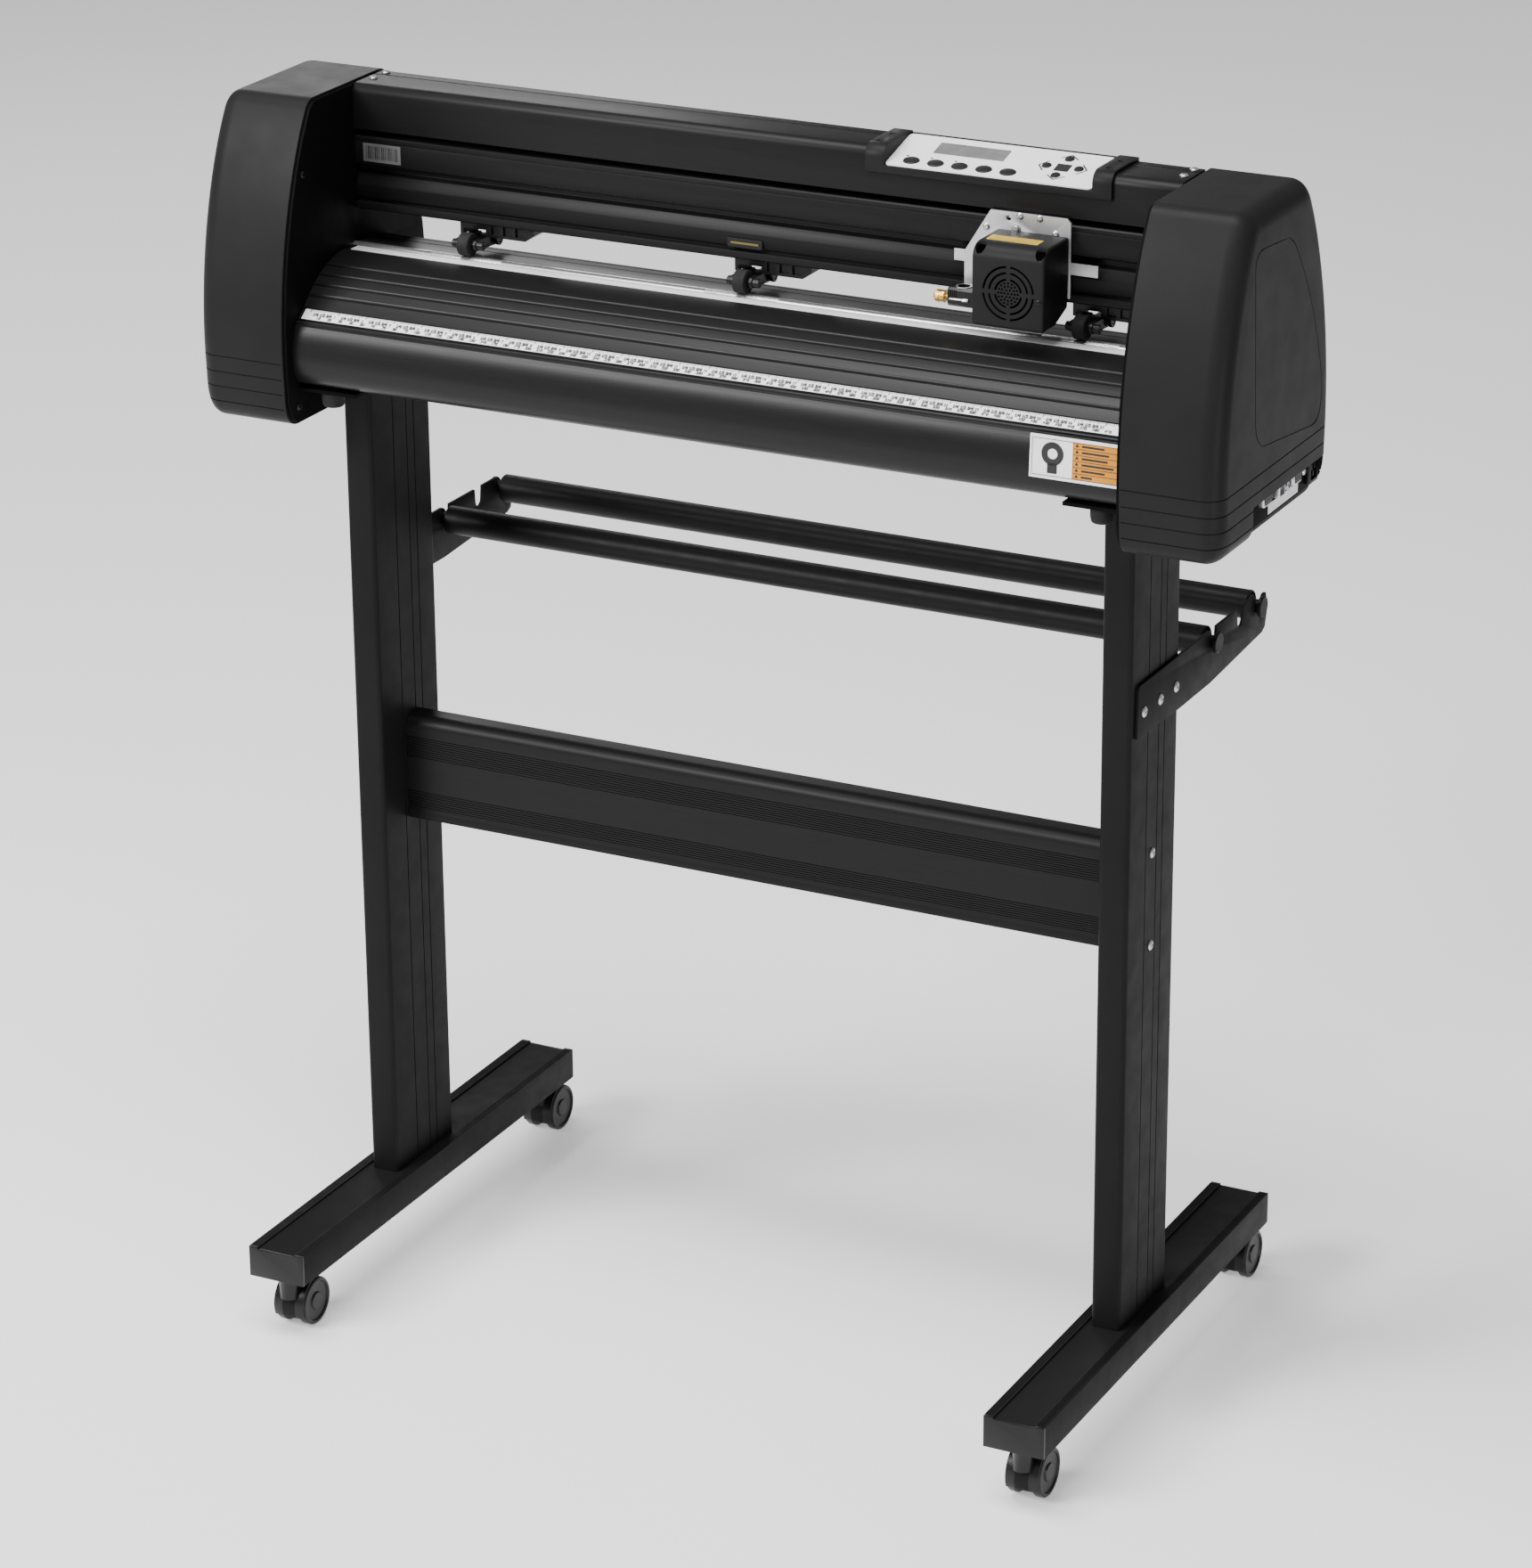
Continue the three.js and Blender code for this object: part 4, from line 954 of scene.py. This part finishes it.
def shaft_and_drive():
    for where, x in PINCH_XS.items():
        half = [(x - 32, 0), (x - 32, 6.5), (x - 31.6, 6.62)]
        profile = half + [(2 * x - t, r) for t, r in reversed(half)]
        settle(turned(f"{where}-grit-band", "X", profile, 0, SHAFT_Z, 64), "grit", "grit_shaft")
    moving = {"grit_shaft": ("steel", 0), "grit_motor_pinion": ("steel", 0.1),
              "belt_drive_pulley": ("aluminium", 0.15), "belt_idler_pulley": ("aluminium", 0.15)}
    for node, (finish, edge) in moving.items():
        refine(node, finish, node, edge=edge)
    fixed = {"grit_motor": ("motor", 0.4), "carriage_motor": ("motor", 0.4), "control_board": ("board", 0.1),
             "carriage_belt": ("rubber", 0.15), "power_supply": ("aluminium", 0.6)}
    for node, (finish, edge) in fixed.items():
        refine(node, finish, edge=edge)
    for side, sign in SIDES:
        refine(f"{side}_side_plate", "side", edge=0.2)
        face = sign * 356.9
        screws(f"{side}-plate-screws", "X", [(-95.7, 766.8, face), (-76.2, 951.9, face)], -sign,
               "dark", radius=3)
        settle_feet(side, sign)


def settle_feet(side, sign):
    feet = []
    for y in (-80, 80):
        profile = [(779, 0), (779, 9.4), (771, 9.2), (767.4, 8.4), (766.5, 7.4), (766.5, 3), (768, 2.6),
                   (768, 0)]
        feet.append(turned("foot", "Z", profile, sign * 333.5, y, 36))
    settle(gather(f"{side}-rubber-feet", feet), "rubber")


# ------------ carriage
def carriage():
    plate = [(182.6, 909.6), (182.6, 936.7), (204, 971.3), (267, 971.3), (270.2, 968), (270.2, 909.6)]
    sheet = bar("sheet", "Y", plate, -1.2, 0.8)
    combine(sheet, rod("hole", "Y", 2.1, -3, 3, 219, 966.5, 24))
    combine(sheet, rod("hole", "Y", 1.6, -3, 3, 251.5, 953, 24))
    soften(sheet, 0.2, 2, 50)
    bar_behind = block("bar", (173.3, 0.6, 928), (292, 2.4, 937), 0.2)
    arm = block("arm", (215, 0.6, 966.2), (245, 16.8, 970.2), 0.3)
    grip = block("grip", (215, 13.8, 966.2), (245, 16.8, 979), 0.4)
    whole = gather("carriage-plate", [sheet, bar_behind, arm, grip])
    settle(whole, "aluminium", "carriage", ["carriage_plate"])
    places = [(x, z, -1.2) for x, z in ((228.5, 969), (244.8, 969), (200.8, 958), (257.8, 958.4))]
    screws("carriage-screws", "Y", places, -1, body="carriage", radius=2.7, height=1.5)
    profile = [(-1.2, 0), (-1.2, 3.6), (-2.0, 3.6), (-2.2, 2.4), (-3.4, 2.2), (-3.6, 0)]
    boss = turned("carriage-stud", "Y", profile, 225.5, 959, 32)
    settle(boss, "zinc", "carriage")
    refine("lift_solenoid", "aluminium", "carriage", edge=0.6)


FAN_X, FAN_Z = 240.3, 922.4
HEAD_FRONT = -48


def ring_slot(x, z, radius, wide, start, end, y0, y1):
    outline = arc(x, z, radius + wide / 2, start, end, 10) + arc(x, z, radius - wide / 2, end, start, 10)
    return bar("ring_slot", "Y", outline, y0, y1)


def head_cover():
    low, high = node_box("head_cover")
    front, bottom, top, r = HEAD_FRONT, 894.8, 958, 12
    wells = (215.8, 264.8)

    def side(inset, back):
        return [
            (front + inset, bottom - inset), (-26, bottom - inset), (-3 + back, 903.3 - inset),
            (-1.5 + back, top - inset), *arc(front + r, top - r, r - inset, 90, 180, 10),
        ]

    shell = soften(bar("head-cover", "X", side(0, 0), low.x, high.x), 2.4, 5, 60)
    combine(shell, bar("inside", "X", side(2, 4), low.x + 2, high.x - 2))
    combine(shell, block("tool_opening", (low.x - 1, -26, 890), (low.x + 4, -8, 918), 0))
    x, z = FAN_X, FAN_Z
    y0, y1 = front - 2, front + 3
    cutters = []
    for radius in (20.4, 15.7, 10.7):
        gap = math.degrees(1.6 / radius)
        cutters += [ring_slot(x, z, radius, 1.7, q + gap, q + 90 - gap, y0, y1) for q in (0, 90, 180, 270)]
    cutters.append(rod("hole", "Y", 0.85, y0, y1, x, z, 12))
    for count, radius in ((6, 3), (12, 5.6), (16, 8)):
        for k in range(count):
            a = 2 * math.pi * k / count
            spot = (x + radius * math.cos(a), z + radius * math.sin(a))
            cutters.append(rod("hole", "Y", 0.85, y0, y1, *spot, 12))
    combine(shell, gather("grille", cutters))
    for corner in wells:
        combine(shell, rod("screw_well", "Z", 4.2, 948, 965, corner, -43.2, 32))
    settle(shell, "cover", "carriage", ["head_cover"], smooth=30)
    screws("head-well-screws", "Z", [(x, -43.2, 948.2) for x in wells], 1, "dark", "carriage", radius=3)
    screws("head-front-screw", "Y", [(265.2, 918.2, front)], -1, "dark", "carriage", radius=2.4, height=1.0)
    settle(block("head-label", (215, -33, 957.9), (257, -20.3, 958.2), 0.08, 1), "yellow", "carriage")
    lines = [block("line", (218, y, 958.15), (254, y + 0.7, 958.25), 0) for y in (-31.2, -27, -22.8)]
    settle(gather("head-label-lines", lines), "ink", "carriage")
    head_fan()


def head_fan():
    """The fan behind the head cover's grille: a motor, nine blades and a back."""
    front = HEAD_FRONT
    fan = [rod("motor", "Y", 8.5, front + 3.2, front + 6, FAN_X, FAN_Z, 40, 0.5)]
    middle = Matrix.Translation((FAN_X, 0, FAN_Z))
    for k in range(9):
        blade = block("blade", (8, front + 3.6, -3), (21.5, front + 4.6, 5.5), 0.2)
        fan.append(lay(blade, middle @ Matrix.Rotation(k * math.tau / 9, 4, "Y")))
    fan.append(rod("fan_back", "Y", 25.4, front + 5, front + 6.5, FAN_X, FAN_Z, 48))
    settle(gather("head-fan", fan), "side", "carriage")


def tool():
    """The clamp that holds a blade holder or pen. Its socket is empty."""
    x, y = 190, -17
    outline = [(-24, 901), (-22, 899), (-10.5, 899), (-10.5, 913.7), (-22, 913.7), (-24, 911.7)]
    clamp = soften(bar("clamp", "X", outline, x - 11, x + 18), 0.5, 2, 50)
    combine(clamp, rod("bore", "Z", 5.1, 890, 920, x, y, 48))
    combine(clamp, rod("screw_hole", "X", 2.3, x - 14, x, y, 904, 24))
    for k in range(5):
        groove = x - 9.5 + 1.4 * k
        combine(clamp, block("groove", (groove, -25, 906), (groove + 0.7, -23.4, 915), 0))
    arm = block("arm", (x + 17, -21, 902), (240, -13, 909), 0.5)
    plunger = rod("plunger", "Z", 3, 908, 940, 236, y, 32, 0.3)
    settle(gather("tool-clamp", [clamp, arm, plunger]), "dark", "tool", ["tool_clamp"])
    rim = turned("rim", "Z", [(913.6, 5.2), (914.3, 5.2), (914.3, 6.2), (913.6, 6.2), (913.6, 5.2)], x, y)
    pin = rod("pin", "X", 0.9, x - 9, x + 4, -24.4, 905, 24, 0.2)
    nut = rod("nut", "X", 1.7, x + 2, x + 7, -24.6, 905, 6, 0.2)
    settle(gather("tool-clamp-metal", [rim, pin, nut]), "zinc", "tool")
    thumb = [(165, 0), (165, 1.8), (165.6, 2.1), (166.6, 2.1), (166.8, 4.2), (167.4, 4.8), (170.2, 4.8),
             (170.5, 4.4), (171.1, 4.4), (171.4, 4.8), (174.4, 4.8), (175, 4.3), (175, 2), (184.6, 2),
             (184.8, 1.7), (184.8, 0)]
    settle(turned("clamp-screw", "X", thumb, y, 904, 48), "brass", "clamp_screw", ["clamp_screw"])


# ------------ pinch units
PINCH_XS = {"left": -253, "middle": -7, "right": 280}
PIVOT_Y, PIVOT_Z, PINCH_Z, PINCH_R = 30, 887, 888.7, 9.4


def pinch_bracket(x):
    outline = [(x - 13, 893), (x - 13, 903.6), (x - 12, 904.6), (x + 54, 904.6), (x + 54, 898.5),
               (x + 46, 893)]
    body = bar("bracket", "Y", outline, 12, 46)
    combine(body, block("room", (x - 10.2, 11, 892), (x + 10.2, 36, 898.5), 0))
    for k in range(3):
        start = x + 15 + 11 * k
        combine(body, block("pocket", (start, 11, 895.5), (start + 8, 14, 902.5), 0))
        combine(body, block("pocket", (start, 44, 895.5), (start + 8, 47, 902.5), 0))
    soften(body, 0.5, 2, 50)
    ears = []
    for start, end in ((x - 13, x - 10.3), (x + 10.3, x + 13)):
        side = [(24, 894), (24, 886), *arc(PIVOT_Y, PIVOT_Z, 5, 200, 340, 10), (36, 886), (36, 894)]
        ear = bar("ear", "X", side, start, end)
        combine(ear, rod("hole", "X", 2.8, start - 1, end + 1, PIVOT_Y, PIVOT_Z, 32))
        ears.append(soften(ear, 0.25, 2, 50))
    neck = block("neck", (x - 10, 24.4, 903.6), (x + 50, 29.6, 909.7), 0.2)
    head = block("head", (x - 10, 21.4, 909.1), (x + 50, 32.6, 912.8), 0.4)
    return gather("pinch_bracket", [body, *ears, neck, head])


def pinch_arm(x):
    side = [*arc(0, PINCH_Z, 4.4, 90, 270, 12), *arc(PIVOT_Y, PIVOT_Z, 4.6, -90, 90, 12)]
    fingers = ((-9.7, -5.4), (5.4, 9.7))
    parts = [soften(bar("finger", "X", side, x + a, x + b), 0.6, 3, 50) for a, b in fingers]
    parts.append(block("bridge", (x - 9.5, 14, 884.5), (x + 9.5, 31, 890.5), 0.8, 3))
    parts.append(block("lever", (x - 6, 30, 884.5), (x + 6, 64, 888.5), 1.4, 4))
    left_end = [(x - 9, 0), (x - 9, 3.4), (x - 12.4, 3.4), (x - 13, 2.8), (x - 13, 1.2), (x - 12.2, 1),
                (x - 12.2, 0)]
    right_end = [(x + 9, 0), (x + 9, 3.4), (x + 14.8, 3.4), (x + 15.5, 2.8), (x + 15.5, 1.2), (x + 14.7, 1),
                 (x + 14.7, 0)]
    parts += [turned("axle_end", "X", end, 0, PINCH_Z, 32) for end in (left_end, right_end)]
    parts.append(rod("axle", "X", 1.6, x - 7, x + 7, 0, PINCH_Z, 24))
    parts.append(rod("pivot", "X", 2.5, x - 12.7, x + 12.7, PIVOT_Y, PIVOT_Z, 32, 0.3))
    return gather("pinch_arm", parts)


def pinch_roller(x):
    ring = [(x - 5, 1.9), (x - 5, 8.8), (x - 4.4, PINCH_R), (x + 4.4, PINCH_R), (x + 5, 8.8), (x + 5, 1.9),
            (x - 5, 1.9)]
    return turned("pinch_roller", "X", ring, 0, PINCH_Z, 56)


def pinch_units():
    x0 = PINCH_XS["left"]
    makers = {"bracket": (pinch_bracket, "dark"), "arm": (pinch_arm, "dark"),
              "roller": (pinch_roller, "rubber")}
    for kind, (maker, finish) in makers.items():
        piece = maker(x0)
        for where, x in PINCH_XS.items():
            node = f"{where}_pinch_{kind}"
            settle(twin(piece, f"{where}-pinch-{kind}", (x - x0, 0, 0)), finish, node, [node])
        bpy.data.objects.remove(piece)


# ------------ console
CONSOLE = {"left": 114, "right": 286, "front_z": 996, "back_z": 1009, "depth": 48, "wing": 16, "lip": 988.8}
TILT = math.atan2(CONSOLE["back_z"] - CONSOLE["front_z"], CONSOLE["depth"])
PANEL = Matrix.Translation((200, 24, 1002.5)) @ Matrix.Rotation(TILT, 4, "X")


def slope(lift, rearward, height):
    """The space over a line parallel to the overlay, seen from the side."""
    y0, y1 = -4, CONSOLE["depth"] + rearward
    z0, z1 = (CONSOLE["front_z"] + y * math.tan(TILT) + lift for y in (y0, y1))
    return [(y0, z0), (y1, z1), (y1, z1 + height), (y0, z1 + height)]


def saddle(out):
    r = 8 + out
    front, back, top = 3 - out, 50 + out, 1007.7 + out
    return [(front, CONSOLE["lip"]), (back, CONSOLE["lip"]), (back, top),
            *arc(front + r, top - r, r, 90, 180, 10)]


def bezel():
    left, right, wing = CONSOLE["left"], CONSOLE["right"], CONSOLE["wing"]
    skin = bar("console-bezel", "X", saddle(2.5), left - wing, right + wing)
    combine(skin, bar("beam_room", "X", [(y, z - (1 if z < 990 else 0)) for y, z in saddle(0.3)],
                      left - wing - 1, right + wing + 1))
    tray = bar("tray", "X", saddle(2.49), left - 2.8, right + 2.8)
    combine(tray, bar("under", "X", slope(-3.5, 10, 30), left - 5, right + 5), "INTERSECT")
    combine(skin, tray, "UNION")
    combine(skin, bar("over", "X", slope(-1.3, 30, 30), left, right))
    for x in (left - 9, right + 9):
        for y in (14, 36):
            combine(skin, block("slot", (x - 2.5, y - 2, 1009.4), (x + 2.5, y + 2, 1012), 0))
    settle(soften(skin, 0.35, 2, 50), "cover", replaces=["console_bezel"], smooth=30)


def oval(name, u, v, ru, rv, low, high, edge=0.0):
    thing = rod(name, "Z", 1, low, high, 0, 0, 48)
    thing.scale = (ru, rv, 1)
    thing.location = (u, v, 0)
    place(thing)
    return soften(thing, edge, 3, 50) if edge else thing


OVALS = {f"function_key_{k + 1}": (u, -15.1, 6.5, 5) for k, u in enumerate((-67, -46.9, -26.9, -6.7, 13.2))}
ROUNDS = {
    "up_key": (51.5, 14.3, 3.6, 3.6), "left_key": (38.1, 1.5, 3.6, 3.6),
    "right_key": (64.5, 1.6, 3.6, 3.6), "down_key": (50.6, -10.9, 3.6, 3.6),
}


def rounded_sheet(name, u, v, half_u, half_v, r, low, high):
    corners = ((u + half_u - r, v - half_v + r, -90), (u + half_u - r, v + half_v - r, 0),
               (u - half_u + r, v + half_v - r, 90), (u - half_u + r, v - half_v + r, 180))
    outline = [p for a, b, start in corners for p in arc(a, b, r, start, start + 90, 6)]
    return bar(name, "Z", outline, low, high)


def overlay():
    sheet = rounded_sheet("overlay-sheet", 0, 0, 85.6, 24.4, 4, -1, 0)
    holes = [oval("hole", u, v, ru + 0.3, rv + 0.3, -2, 1) for u, v, ru, rv in (OVALS | ROUNDS).values()]
    combine(sheet, gather("holes", holes))
    settle(lay(sheet, PANEL), "overlay", replaces=["membrane_overlay"])
    window = rounded_sheet("display-window", -26.4, 7.9, 29.4, 8.4, 0.8, -0.5, 0.12)
    settle(lay(window, PANEL), "window")
    for name, (u, v, ru, rv) in (OVALS | ROUNDS).items():
        cap = oval(f"{name.replace('_', '-')}-cap", u, v, ru, rv, -0.7, 0.9, 0.5)
        settle(lay(cap, PANEL), "key", name, [name])
    marks = [rounded_sheet("square", 51.5, 1, 5.9, 5.4, 0.6, 0, 0.08)]
    for turn, (u, v) in ((0, (51.4, 21.0)), (90, (31.0, 1.3)), (180, (51.2, -18.0)), (270, (71.8, 1.2))):
        chevron = draw("chevron", [(-7.6, -6.2, 0), (0, 0, 0), (7.6, -6.2, 0), (6.9, -7.0, 0), (0, -1.5, 0),
                                   (-6.9, -7.0, 0)])
        extrude((0, 0, 0.08))
        face_outward()
        chevron.matrix_world = Matrix.Translation((u, v, 0)) @ Matrix.Rotation(math.radians(turn), 4, "Z")
        marks.append(place(chevron))
    settle(lay(gather("overlay-print", marks), PANEL), "ink")
    lamps = [oval("lamp", u - 5.9, v + 6.4, 1.0, 1.0, -0.2, 0.35, 0.2)
             for u, v, *_ in list(OVALS.values())[:3]]
    settle(lay(gather("indicator-lamps", lamps), PANEL), "label")


# ------------ assembly
camera()
lights()
floor()
foot_beams()
posts()
stretcher()
roll_brackets()
media_rollers()
casters()
end_covers()
ports()
platen()
ruler()
apron_label()
top_beam()
rail_beam()
shaft_and_drive()
carriage()
head_cover()
tool()
pinch_units()
bezel()
overlay()
